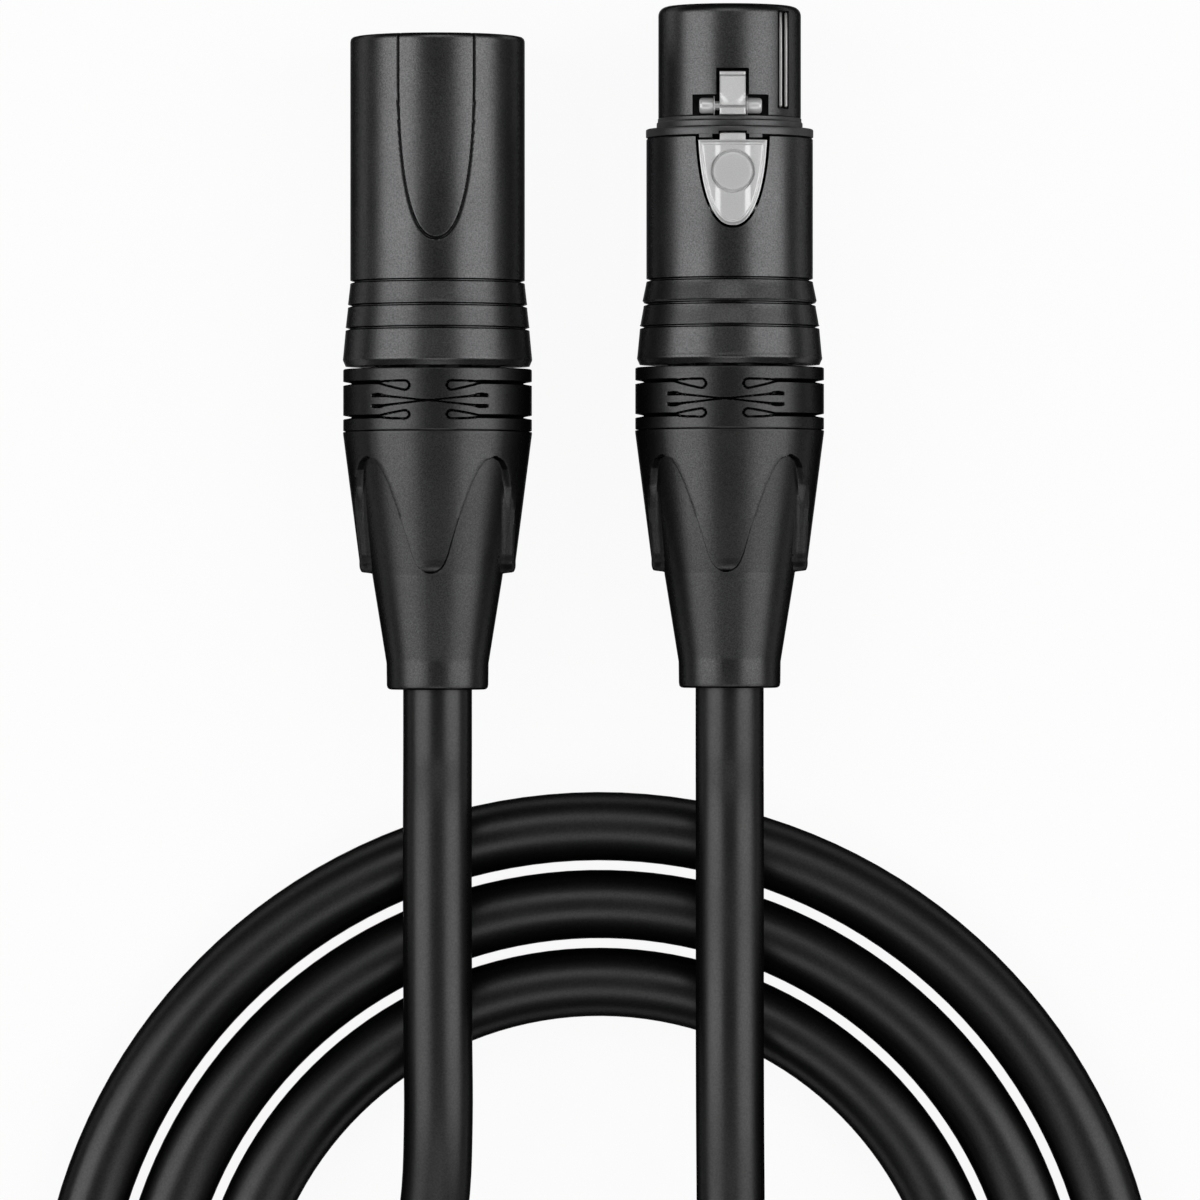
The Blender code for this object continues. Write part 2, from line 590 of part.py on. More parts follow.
def make_male_shell(frame):
    """Make the male barrel with its cup, seat, neck and tongue-shaped groove."""
    seat = MALE_INSERT_REAR - GAP
    shell = turned("male_shell", [
        (MALE_BARREL_RADIUS - MALE_RIM_EDGE, MALE_LENGTH),
        (MALE_BARREL_RADIUS, MALE_LENGTH - MALE_RIM_EDGE),
        *ridge_profile(MALE_BARREL_RADIUS, MALE_BAND_RADIUS, MALE_RIDGE_FLARE),
        (NECK_BORE_RADIUS, seat), (CUP_BORE_RADIUS, seat), (CUP_BORE_RADIUS, MALE_LENGTH),
    ], frame, SHELL_BLACK)
    centre = MALE_LENGTH - TONGUE_LENGTH + TONGUE_TIP_LENGTH
    front = MALE_LENGTH + OVERCUT
    half_line = TONGUE_LINE_WIDTH / 2
    low = MALE_BARREL_RADIUS / 2
    high = MALE_BARREL_RADIUS + OVERCUT
    line = plate("tongue_line", tongue_outline(
        TONGUE_HALF_WIDTH + half_line, TONGUE_TIP_LENGTH + half_line, centre, front,
    ), low, high, frame, TOP_VIEW)
    island = plate("tongue_island", tongue_outline(
        TONGUE_HALF_WIDTH - half_line, TONGUE_TIP_LENGTH - half_line, centre, front + OVERCUT,
    ), low - OVERCUT, high + OVERCUT, frame, TOP_VIEW)
    core = turned("tongue_core", [
        (0.0, front + OVERCUT), (MALE_BARREL_RADIUS - TONGUE_LINE_DEPTH, front + OVERCUT),
        (MALE_BARREL_RADIUS - TONGUE_LINE_DEPTH, BARREL_REAR), (0.0, BARREL_REAR),
    ], frame)
    boolean(line, island)
    boolean(line, core)
    boolean(shell, line)


def make_male_contacts(frame):
    """Make the male insert, its pins, and the wires behind them."""
    radius = CUP_BORE_RADIUS - GAP
    middle = (MALE_INSERT_FRONT + MALE_INSERT_REAR) / 2
    insert = cylinder("male_insert", radius, MALE_INSERT_THICKNESS, frame,
                      Matrix.Translation((0.0, 0.0, middle)), INSERT_BLACK, INNER_STEPS)
    tip = MALE_LENGTH - PIN_RECESS
    cup_end = MALE_INSERT_REAR - CONTACT_TAIL_LENGTH
    for index, angle in enumerate(CONTACT_ANGLES):
        place = Matrix.Translation(contact_place(angle))
        turned(f"male_pin_{index + 1}", [
            (0.0, tip), (PIN_RADIUS / 2, tip), (PIN_RADIUS, tip - PIN_TIP_LENGTH),
            (PIN_RADIUS, cup_end), (SOLDER_CUP_RADIUS, cup_end),
            (SOLDER_CUP_RADIUS, cup_end + SOLDER_CUP_DEPTH), (0.0, cup_end + SOLDER_CUP_DEPTH),
        ], frame, CONTACT_METAL, PIN_STEPS, place)
        hole = place @ Matrix.Translation((0.0, 0.0, middle))
        boolean(insert, cylinder(f"male_pin_hole_{index + 1}", PIN_RADIUS + GAP,
                                 MALE_INSERT_THICKNESS + 2 * OVERCUT, frame, hole))
    make_cable_end("male", frame, cup_end)


def make_female_shell(frame):
    """Make the female barrel with its latch window, pivot holes, seat and neck."""
    seat = FEMALE_INSERT_REAR - GAP
    shell = turned("female_shell", [
        (FEMALE_BARREL_RADIUS - FEMALE_RIM_EDGE, FEMALE_SHELL_FRONT),
        (FEMALE_BARREL_RADIUS, FEMALE_SHELL_FRONT - FEMALE_RIM_EDGE),
        *ridge_profile(FEMALE_BARREL_RADIUS, FEMALE_BAND_RADIUS, FEMALE_RIDGE_FLARE),
        (NECK_BORE_RADIUS, seat - SEAT_LIP_THICKNESS), (SEAT_LIP_RADIUS, seat - SEAT_LIP_THICKNESS),
        (SEAT_LIP_RADIUS, seat), (FEMALE_BORE_RADIUS, seat),
        (FEMALE_BORE_RADIUS, FEMALE_SHELL_FRONT),
    ], frame, SHELL_BLACK)
    window = plate("latch_window", tongue_outline(
        TAB_HALF_WIDTH + GAP, TAB_TIP_LENGTH + GAP, TAB_ELLIPSE_CENTRE,
        TAB_ELLIPSE_CENTRE + OVERCUT,
    ), ARM_BOTTOM, TAB_OUTER_RADIUS + OVERCUT, frame, TOP_VIEW)
    boolean(shell, window)
    boolean(shell, pivot_cutter("shell_pivot_hole", PIVOT_HALF_LENGTH + GAP, frame))


def pivot_cutter(name, half_length, frame):
    """Make the hole that the pivot pin lies in."""
    place = Matrix.Translation((0.0, -PIVOT_HEIGHT, PIVOT_STATION)) @ ALONG_X
    return cylinder(name, PIVOT_RADIUS + RUNNING_CLEARANCE, 2 * half_length, frame, place)


def make_nose(frame):
    """Make the nose sleeve with its T-shaped window and the ground contact's slot."""
    nose = turned("female_nose", [
        *((NOSE_RADIUS - NOSE_EDGE * (1 - math.sin(turn)),
           FEMALE_LENGTH - NOSE_EDGE * (1 - math.cos(turn)))
          for turn in (0.0, math.pi / 6, math.pi / 3, math.pi / 2)),
        (NOSE_RADIUS, NOSE_BOTTOM + NOSE_CHAMFER), (NOSE_RADIUS - NOSE_CHAMFER, NOSE_BOTTOM),
        (NOSE_BORE_RADIUS, NOSE_BOTTOM), (NOSE_BORE_RADIUS, FEMALE_LENGTH),
    ], frame, SHELL_BLACK)
    low = NOSE_BOTTOM - OVERCUT
    stem = box("t_window_stem", (-LATCH_SLOT_HALF_WIDTH, -NOSE_RADIUS - OVERCUT, low),
               (LATCH_SLOT_HALF_WIDTH, -ARM_BOTTOM, HOOK_TIP + LATCH_SIDE_GAP), frame)
    bar = box("t_window_bar", (-T_WINDOW_WIDTH / 2, -NOSE_RADIUS - OVERCUT, low),
              (T_WINDOW_WIDTH / 2, -ARM_BOTTOM, NOSE_BOTTOM + T_WINDOW_LENGTH), frame)
    boolean(nose, stem)
    boolean(nose, bar)
    half_width = GROUND_WIDTH / 2 + GAP
    top = FEMALE_LENGTH - GROUND_END_MARGIN
    slot = box("ground_slot", (-half_width, -NOSE_RADIUS - OVERCUT, top - GROUND_LENGTH - 2 * GAP),
               (half_width, -FEMALE_INSERT_RADIUS, top), frame, matrix=rolled(GROUND_ANGLE))
    boolean(nose, slot)


def make_ground_contact(frame):
    """Make the two-ribbed ground contact that lies in the nose's slot."""
    top = FEMALE_LENGTH - GROUND_END_MARGIN - GAP
    place = rolled(GROUND_ANGLE)
    outer = NOSE_RADIUS + GROUND_PROUD
    contact = box("ground_contact", (-GROUND_WIDTH / 2, -outer, top - GROUND_LENGTH),
                  (GROUND_WIDTH / 2, -NOSE_BORE_RADIUS, top), frame, CONTACT_METAL, place)
    groove = box("ground_groove", (-GROUND_GROOVE_WIDTH / 2, -outer - OVERCUT,
                                   top - GROUND_LENGTH - OVERCUT),
                 (GROUND_GROOVE_WIDTH / 2, -outer + NOSE_WALL / 3, top + OVERCUT), frame,
                 matrix=place)
    boolean(contact, groove)


def make_flange(frame):
    """Make the stepped flange with its two small tabs beside the latch."""
    flange = turned("female_flange", [
        (SHOULDER_RADIUS, FLANGE_TOP), (SHOULDER_RADIUS, FLANGE_BOTTOM + FLANGE_THICKNESS),
        (FLANGE_RADIUS, FLANGE_BOTTOM + FLANGE_THICKNESS), (FLANGE_RADIUS, FLANGE_BOTTOM),
        (NOSE_BORE_RADIUS, FLANGE_BOTTOM), (NOSE_BORE_RADIUS, FLANGE_TOP),
    ], frame, FLANGE_BLACK)
    reach = math.sqrt(FLANGE_RADIUS ** 2 - (FLANGE_TAB_OFFSET + FLANGE_TAB_WIDTH / 2) ** 2)
    for name, side in (("flange_tab_left", -1), ("flange_tab_right", 1)):
        middle = side * FLANGE_TAB_OFFSET
        tab = box(name, (middle - FLANGE_TAB_WIDTH / 2, -reach, FLANGE_BOTTOM - FLANGE_TAB_DROP),
                  (middle + FLANGE_TAB_WIDTH / 2, -reach + FLANGE_TAB_DEPTH,
                   FLANGE_BOTTOM + FLANGE_THICKNESS / 2), frame)
        boolean(flange, tab, "UNION")


def make_female_contacts(frame):
    """Make the female insert with its channel for the latch, the sockets and the wires."""
    middle = (FEMALE_INSERT_FRONT + FEMALE_INSERT_REAR) / 2
    insert = cylinder("female_insert", FEMALE_INSERT_RADIUS, FEMALE_INSERT_LENGTH, frame,
                      Matrix.Translation((0.0, 0.0, middle)), INSERT_BLACK, INNER_STEPS)
    top = -FEMALE_INSERT_RADIUS - OVERCUT
    channel = box("latch_channel",
                  (-LATCH_SLOT_HALF_WIDTH, top, FEMALE_INSERT_REAR - OVERCUT),
                  (LATCH_SLOT_HALF_WIDTH, -CHANNEL_FLOOR, HOOK_TIP + LATCH_SIDE_GAP), frame)
    pocket = box("cross_pin_pocket",
                 (-T_WINDOW_WIDTH / 2, top, CROSS_PIN_STATION - CROSS_PIN_RADIUS - LATCH_SIDE_GAP),
                 (T_WINDOW_WIDTH / 2, -POCKET_FLOOR,
                  CROSS_PIN_STATION + CROSS_PIN_RADIUS + LATCH_SIDE_GAP), frame)
    boolean(insert, channel)
    boolean(insert, pocket)
    cup_end = FEMALE_INSERT_REAR - CONTACT_TAIL_LENGTH
    bore_end = SOCKET_FRONT - SOCKET_BORE_DEPTH
    for index, angle in enumerate(CONTACT_ANGLES):
        place = Matrix.Translation(contact_place(angle))
        turned(f"female_socket_{index + 1}", [
            (0.0, bore_end), (SOCKET_BORE_RADIUS, bore_end), (SOCKET_BORE_RADIUS, SOCKET_FRONT),
            (SOCKET_RADIUS, SOCKET_FRONT), (SOCKET_RADIUS, cup_end), (SOLDER_CUP_RADIUS, cup_end),
            (SOLDER_CUP_RADIUS, cup_end + SOLDER_CUP_DEPTH), (0.0, cup_end + SOLDER_CUP_DEPTH),
        ], frame, CONTACT_METAL, PIN_STEPS, place)
        hole = place @ Matrix.Translation((0.0, 0.0, middle))
        boolean(insert, cylinder(f"female_socket_hole_{index + 1}", SOCKET_RADIUS + GAP,
                                 FEMALE_INSERT_LENGTH + 2 * OVERCUT, frame, hole))
    make_cable_end("female", frame, cup_end)


def lever_outline():
    """Draw the lever's arm and hook from the side, as (height along the axis, distance from it)."""
    stem_front = FLANGE_BOTTOM - GAP
    stem_rear = TAB_FRONT - ARM_THICKNESS / 2
    hook_rear = NOSE_BOTTOM + GAP
    lip_top = NOSE_RADIUS + LATCH_SIDE_GAP / 4
    ledge = lip_top + LATCH_SIDE_GAP
    stem_top = (TAB_OUTER_RADIUS + TAB_INNER_RADIUS) / 2
    return [
        (stem_rear, ARM_BOTTOM), (HOOK_TIP, ARM_BOTTOM), (HOOK_TIP, lip_top),
        (HOOK_TIP - LATCH_SIDE_GAP, lip_top), (CROSS_PIN_STATION + LATCH_SIDE_GAP, HOOK_TOP),
        (CROSS_PIN_STATION - LATCH_SIDE_GAP / 4, HOOK_TOP),
        (CROSS_PIN_STATION - LATCH_SIDE_GAP, ledge), (hook_rear, ledge), (hook_rear, ARM_TOP),
        (stem_front, ARM_TOP), (stem_front, stem_top), (stem_rear, stem_top),
    ]


def make_latch(frame):
    """Make the lever, the cross pin on it, its pivot pin and its spring."""
    lever = plate("latch_lever", tongue_outline(
        TAB_HALF_WIDTH, TAB_TIP_LENGTH, TAB_ELLIPSE_CENTRE, TAB_ELLIPSE_CENTRE + OVERCUT,
    ), ARM_BOTTOM, TAB_OUTER_RADIUS + OVERCUT, frame, TOP_VIEW, LATCH_METAL)
    skin = turned("tab_skin", [
        (TAB_OUTER_RADIUS, TAB_FRONT), (TAB_OUTER_RADIUS, BARREL_REAR),
        (TAB_INNER_RADIUS, BARREL_REAR), (TAB_INNER_RADIUS, TAB_FRONT),
    ], frame)
    boolean(lever, skin, "INTERSECT")
    disc_top = TAB_OUTER_RADIUS + TAB_DISC_PROUD
    disc_bottom = (TAB_OUTER_RADIUS + TAB_INNER_RADIUS) / 2
    disc = cylinder("tab_disc", TAB_DISC_RADIUS, disc_top - disc_bottom, frame,
                    Matrix.Translation((0.0, -(disc_top + disc_bottom) / 2,
                                        FLANGE_BOTTOM - TAB_DISC_DROP))
                    @ Matrix.Rotation(math.radians(90), 4, "X"), steps=INNER_STEPS)
    arm = plate("latch_arm", lever_outline(), -LATCH_HALF_WIDTH, LATCH_HALF_WIDTH, frame,
                SIDE_VIEW)
    lug = box("latch_lug", (-LUG_HALF_WIDTH, -(TAB_OUTER_RADIUS + TAB_INNER_RADIUS) / 2,
                            PIVOT_STATION - LUG_HALF_LENGTH),
              (LUG_HALF_WIDTH, LUG_DEPTH - PIVOT_HEIGHT, PIVOT_STATION + LUG_HALF_LENGTH), frame)
    for piece in (disc, arm, lug):
        boolean(lever, piece, "UNION")
    boolean(lever, pivot_cutter("lug_hole", LUG_HALF_WIDTH + OVERCUT, frame))
    cross_pin_place = Matrix.Translation((0.0, -CROSS_PIN_HEIGHT, CROSS_PIN_STATION)) @ ALONG_X
    boolean(lever, cylinder("cross_pin_hole", CROSS_PIN_NECK_RADIUS + RUNNING_CLEARANCE,
                            2 * (LATCH_HALF_WIDTH + OVERCUT), frame, cross_pin_place))
    neck_end = LATCH_HALF_WIDTH + RUNNING_CLEARANCE
    turned("latch_cross_pin", [
        (0.0, CROSS_PIN_HALF_LENGTH), (CROSS_PIN_RADIUS, CROSS_PIN_HALF_LENGTH),
        (CROSS_PIN_RADIUS, neck_end), (CROSS_PIN_NECK_RADIUS, neck_end),
        (CROSS_PIN_NECK_RADIUS, -neck_end), (CROSS_PIN_RADIUS, -neck_end),
        (CROSS_PIN_RADIUS, -CROSS_PIN_HALF_LENGTH), (0.0, -CROSS_PIN_HALF_LENGTH),
    ], frame, PIN_METAL, PIN_STEPS, cross_pin_place)
    cylinder("latch_pivot_pin", PIVOT_RADIUS, 2 * PIVOT_HALF_LENGTH, frame,
             Matrix.Translation((0.0, -PIVOT_HEIGHT, PIVOT_STATION)) @ ALONG_X, PIN_METAL)
    make_spring(frame)


def make_spring(frame):
    """Wind the spring between the channel's floor and the underside of the tab."""
    low = CHANNEL_FLOOR + GAP + SPRING_WIRE_RADIUS
    high = TAB_INNER_RADIUS - GAP - SPRING_WIRE_RADIUS
    count = int(SPRING_TURNS * SPRING_POINTS_PER_TURN)
    points = []
    for index in range(count + 1):
        turn = math.tau * index / SPRING_POINTS_PER_TURN
        level = low + (high - low) * index / count
        points.append(Vector((SPRING_COIL_RADIUS * math.cos(turn), -level,
                              SPRING_STATION + SPRING_COIL_RADIUS * math.sin(turn))))
    tube("latch_spring", points, SPRING_WIRE_RADIUS, 1, SPRING_METAL, frame)


def smooth_step(value):
    """Ease from 0 to 1."""
    value = min(max(value, 0.0), 1.0)
    return value * value * (3 - 2 * value)


def coil_point(angle):
    """Give the coil's centre line at an angle in degrees, counted through all its turns."""
    radius = COIL_INNER_RADIUS
    for turn in range(COIL_TURNS - 1):
        start = COIL_STEP_START + 360.0 * turn
        radius += COIL_TURN_SPACING * smooth_step((angle - start) / COIL_STEP_SWEEP)
    join = COIL_INNER_END_ANGLE + COIL_INNER_END_SWEEP
    share = max(join - angle, 0.0) / COIL_INNER_END_SWEEP
    radius -= COIL_INNER_END_INSET * share * share
    turn = math.radians(angle)
    return Vector((COIL_CENTRE_X + radius * math.cos(turn),
                   COIL_CENTRE_Y + radius * math.sin(turn), CORD_RADIUS))


def straight_end(angle, side):
    """Give the outer point of the straight stretch at a coil end, one diameter on from it."""
    point = coil_point(angle)
    ahead = coil_point(angle + 0.01)
    return point + (ahead - point).normalized() * CORD_DIAMETER * side


def coil_points():
    """Give the coil's points, from inside the ring to the end of the outermost turn."""
    end = COIL_END_ANGLE + 360.0 * (COIL_TURNS - 1)
    count = round((end - COIL_INNER_END_ANGLE) / 360.0 * COIL_POINTS_PER_TURN)
    angles = np.linspace(COIL_INNER_END_ANGLE, end, count + 1)
    points = [coil_point(angle) for angle in angles]
    return [straight_end(angles[0], -1), *points, straight_end(angles[-1], 1)]


def least_gap(points):
    """Measure the least gap between the tube's turns, on points along its straight pieces."""
    fine = []
    for start, end in zip(points, points[1:]):
        fine += [start.lerp(end, share) for share in np.linspace(0, 1, 8, endpoint=False)]
    fine = np.array([tuple(point) for point in fine])
    steps = np.linalg.norm(np.diff(fine, axis=0), axis=1)
    run = np.concatenate(([0.0], np.cumsum(steps)))
    apart = np.linalg.norm(fine[:, None] - fine[None], axis=2)
    along = np.abs(run[:, None] - run[None])
    return apart[along > 4 * CORD_DIAMETER].min() - CORD_DIAMETER


def smooth_path(route):
    """Sample a Catmull-Rom curve through a route, a fixed number of diameters apart."""
    route = [Vector(point) for point in route]
    padded = [2 * route[0] - route[1], *route, 2 * route[-1] - route[-2]]
    fine = []
    for before, start, end, after in zip(padded, padded[1:], padded[2:], padded[3:]):
        slope = end - before
        bend = 2 * before - 5 * start + 4 * end - after
        twist = 3 * start - before - 3 * end + after
        for step in range(ARC_POINTS):
            share = step / ARC_POINTS
            point = 2 * start + slope * share + bend * share ** 2 + twist * share ** 3
            fine.append(point / 2)
    fine = np.array([tuple(point) for point in [*fine, route[-1]]])
    run = np.concatenate(([0.0], np.cumsum(np.linalg.norm(np.diff(fine, axis=0), axis=1))))
    count = max(round(run[-1] / (LEAD_POINT_SPACING * CORD_DIAMETER)), 2)
    places = np.linspace(0.0, run[-1], count + 1)
    samples = np.stack([np.interp(places, run, fine[:, axis]) for axis in range(3)], axis=1)
    return [Vector(point) for point in samples], run[-1]


def lead_path(start, start_heading, route, end, end_heading):
    """Run a lead straight out of each end for one diameter and smoothly along its route."""
    first = start + start_heading * CORD_DIAMETER
    last = end - end_heading * CORD_DIAMETER
    points, length = smooth_path([first, *route, last])
    return [start, *points, end], length + 2 * CORD_DIAMETER


def make_cord(male_x, female_x):
    """Make the coil and the two leads, and print the cord's length and least gap."""
    coil = coil_points()
    tube("cable_coil", coil, CORD_RADIUS, 1, CORD_BLACK, tilt=math.pi / 6)
    inner_heading = (coil[1] - coil[0]).normalized()
    outer_heading = (coil[-1] - coil[-2]).normalized()
    to_tip = Vector((0.0, 1.0, 0.0))
    inside = TAIL_INSET - GAP
    male_mouth = Vector((male_x, MALE_MOUTH_Y + inside, AXIS_HEIGHT))
    female_mouth = Vector((female_x, FEMALE_MOUTH_Y + inside, AXIS_HEIGHT))
    male_path, male_length = lead_path(male_mouth, -to_tip, MALE_LEAD_ROUTE,
                                       coil[0] - inner_heading * GAP, inner_heading)
    female_path, female_length = lead_path(coil[-1] + outer_heading * GAP, outer_heading,
                                           FEMALE_LEAD_ROUTE, female_mouth, to_tip)
    tube("cable_lead_male", male_path, CORD_RADIUS, 3, CORD_BLACK)
    tube("cable_lead_female", female_path, CORD_RADIUS, 3, CORD_BLACK)
    coil_length = sum((end - start).length for start, end in zip(coil, coil[1:]))
    total = coil_length + male_length + female_length
    print(f"least gap of the coil to itself {least_gap(coil) * 1000:.2f} mm")
    print(f"cord {total:.3f} m: leads {male_length:.3f} and {female_length:.3f}, "
          f"coil {coil_length:.3f}")


def make_connector(side, axis_x, mouth_y):
    """Make what both connectors share, and return the connector's frame."""
    frame = connector_frame(side + "_connector", axis_x, mouth_y)
    make_boot(side, frame)
    make_collar(side, frame)
    make_chuck(side, frame)
    return frame


clear_scene()
CABLE = new_collection("xlr_cable_coil")
CUTTERS = new_collection("cutters")
SHELL_BLACK = finish_material("shell_black", (0.035, 0.035, 0.037), 0.42, 0.3)
FLANGE_BLACK = finish_material("flange_black", (0.05, 0.05, 0.052), 0.5, 0.0)
BOOT_BLACK = finish_material("boot_black", (0.03, 0.03, 0.031), 0.6, 0.0)
COLLAR_BLACK = finish_material("collar_black", (0.035, 0.035, 0.036), 0.55, 0.0)
CORD_BLACK = finish_material("cord_black", (0.012, 0.012, 0.012), 0.55, 0.0)
INSERT_BLACK = finish_material("insert_black", (0.03, 0.03, 0.03), 0.5, 0.0)
CHUCK_GREY = finish_material("chuck_grey", (0.25, 0.25, 0.26), 0.5, 0.0)
CONTACT_METAL = finish_material("contact_metal", (0.72, 0.72, 0.7), 0.3, 1.0)
LATCH_METAL = finish_material("latch_metal", (0.55, 0.55, 0.56), 0.42, 0.9)
PIN_METAL = finish_material("pin_metal", (0.75, 0.75, 0.76), 0.25, 1.0)
SPRING_METAL = finish_material("spring_metal", (0.6, 0.6, 0.62), 0.35, 1.0)
WIRE_FINISHES = (
    finish_material("wire_screen", (0.6, 0.5, 0.38), 0.4, 0.9),
    finish_material("wire_red", (0.5, 0.03, 0.03), 0.5, 0.0),
    finish_material("wire_white", (0.75, 0.75, 0.73), 0.5, 0.0),
)

male_frame = make_connector("male", -AXIS_SPACING / 2, MALE_MOUTH_Y)
make_male_shell(male_frame)
make_male_contacts(male_frame)
female_frame = make_connector("female", AXIS_SPACING / 2, FEMALE_MOUTH_Y)
make_female_shell(female_frame)
make_nose(female_frame)
make_ground_contact(female_frame)
make_flange(female_frame)
make_female_contacts(female_frame)
make_latch(female_frame)
make_cord(-AXIS_SPACING / 2, AXIS_SPACING / 2)
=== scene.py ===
"""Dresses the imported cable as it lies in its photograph, seen from straight above.

Lengths are in millimetres up to the point where a mesh or an object is made. A connector's surfaces
are given by the angle round its axis, from straight up towards +X, and the station along the axis,
from the boot's mouth towards the tip.
"""
import math

import bmesh
import bpy
import numpy as np
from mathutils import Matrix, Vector


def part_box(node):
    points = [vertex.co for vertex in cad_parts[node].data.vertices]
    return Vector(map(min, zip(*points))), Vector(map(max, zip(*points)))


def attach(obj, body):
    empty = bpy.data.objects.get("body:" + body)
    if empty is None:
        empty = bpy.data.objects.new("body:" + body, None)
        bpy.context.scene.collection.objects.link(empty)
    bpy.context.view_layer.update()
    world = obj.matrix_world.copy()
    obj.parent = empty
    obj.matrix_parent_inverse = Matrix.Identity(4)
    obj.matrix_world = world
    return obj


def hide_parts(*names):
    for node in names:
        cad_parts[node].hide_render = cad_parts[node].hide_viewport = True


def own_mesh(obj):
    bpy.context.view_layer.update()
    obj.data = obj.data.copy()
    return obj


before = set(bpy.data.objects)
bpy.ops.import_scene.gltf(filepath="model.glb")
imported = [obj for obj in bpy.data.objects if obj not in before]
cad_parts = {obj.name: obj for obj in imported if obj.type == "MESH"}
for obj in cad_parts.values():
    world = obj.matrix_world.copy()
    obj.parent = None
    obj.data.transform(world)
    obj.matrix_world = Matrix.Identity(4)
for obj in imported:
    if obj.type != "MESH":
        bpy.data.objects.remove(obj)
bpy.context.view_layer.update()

MM = 0.001
AXIS_Z = 10.45
MALE = (-16.1, -37.735)            # the connector's axis and its boot's mouth
FEMALE = (16.1, -37.535)
LATCH_PLACE = (16.32, -37.535)     # the latch stands a little to the right in its slots
# by how much the picture shortens what is past the foremost ridge, and where that is
SHORTER = {MALE: 0.015, FEMALE: 0.008, LATCH_PLACE: 0.008}
SHORTER_FROM = 45.0
CORD_RADIUS = 3.8

# Camera
CAMERA_PLACE = (1.81, -27.86, 1010.45)
CAMERA_LENS = 272.1

# Stage and light
FLOOR = ((-80.0, -195.0), (80.0, 62.0))
FLOOR_LEVEL = -0.05                # just under the cord's facets
FLOOR_GLOW = 0.93                  # the share of its white that no shadow darkens
ROOM_LOW = 0.03
ROOM_HIGH = 0.06
LIGHT_TARGET = (0.0, -20.0, 8.0)
LIGHT_DISTANCE = 1.2
SOFTBOXES = (
    ("softbox_left", 180.0, 53.0, (0.88, 1.15), 2.6),
    ("softbox_right", 0.0, 53.0, (0.88, 1.15), 2.6),
    ("softbox_top", 90.0, 33.0, (0.9, 0.42), 1.7),
    ("softbox_low", -90.0, 33.0, (0.9, 0.42), 1.7),
)

# Cord, by the same points and formula as its solids
MALE_LEAD = [
    (-16.10, -50.5, 11.50), (-16.10, -56.5, 11.95), (-16.08, -66.0, 11.90), (-16.04, -76.0, 11.85),
    (-16.00, -85.0, 11.30), (-16.40, -94.0, 9.85), (-18.00, -103.5, 7.60), (-20.50, -113.5, 5.20),
    (-21.90, -124.0, 3.90), (-20.60, -133.3, 3.80), (-16.20, -141.1, 3.80), (-9.50, -146.7, 3.80),
    (-1.20, -149.7, 3.80), (7.50, -149.8, 3.80),
]
FEMALE_LEAD = [
    (-52.30, -139.8, 3.90), (-47.20, -146.8, 4.70), (-41.80, -154.0, 6.80), (-34.60, -160.1, 9.80),
    (-25.80, -164.2, 11.70), (-16.00, -165.4, 12.10), (-6.40, -163.2, 12.10), (2.00, -157.8, 12.10),
    (8.60, -150.1, 12.10), (13.10, -140.8, 11.80), (15.60, -130.8, 10.90), (16.30, -119.8, 9.90),
    (16.30, -107.8, 9.70), (16.22, -95.8, 10.60), (16.14, -85.8, 11.50), (16.10, -76.0, 11.90),
    (16.10, -66.0, 11.90), (16.10, -56.5, 11.95), (16.10, -50.5, 11.50),
]
COIL_CENTRE = (1.76, -111.79)
COIL_INNER_RADIUS = 41.55
COIL_SPACING = 8.64
COIL_STEPS = (170.0, 530.0)        # where a turn starts to move out
COIL_STEP_SWEEP = 160.0
COIL_START = -40.0
COIL_START_SWEEP = 55.0
COIL_START_INSET = 4.0
COIL_END = 905.0
COIL_SAMPLES = 380
CORD_INSIDE = 0.7                  # how far the cord's ends lie inside the boots
LEAD_SAMPLE = 2.0                  # along the leads
CURVE_STEPS = 24                   # from one point of a route to the next


# --- materials -------------------------------------------------------------------------------

NOISE_RANGE = (0.3, 0.7)           # the middle range, where most of a noise's values lie


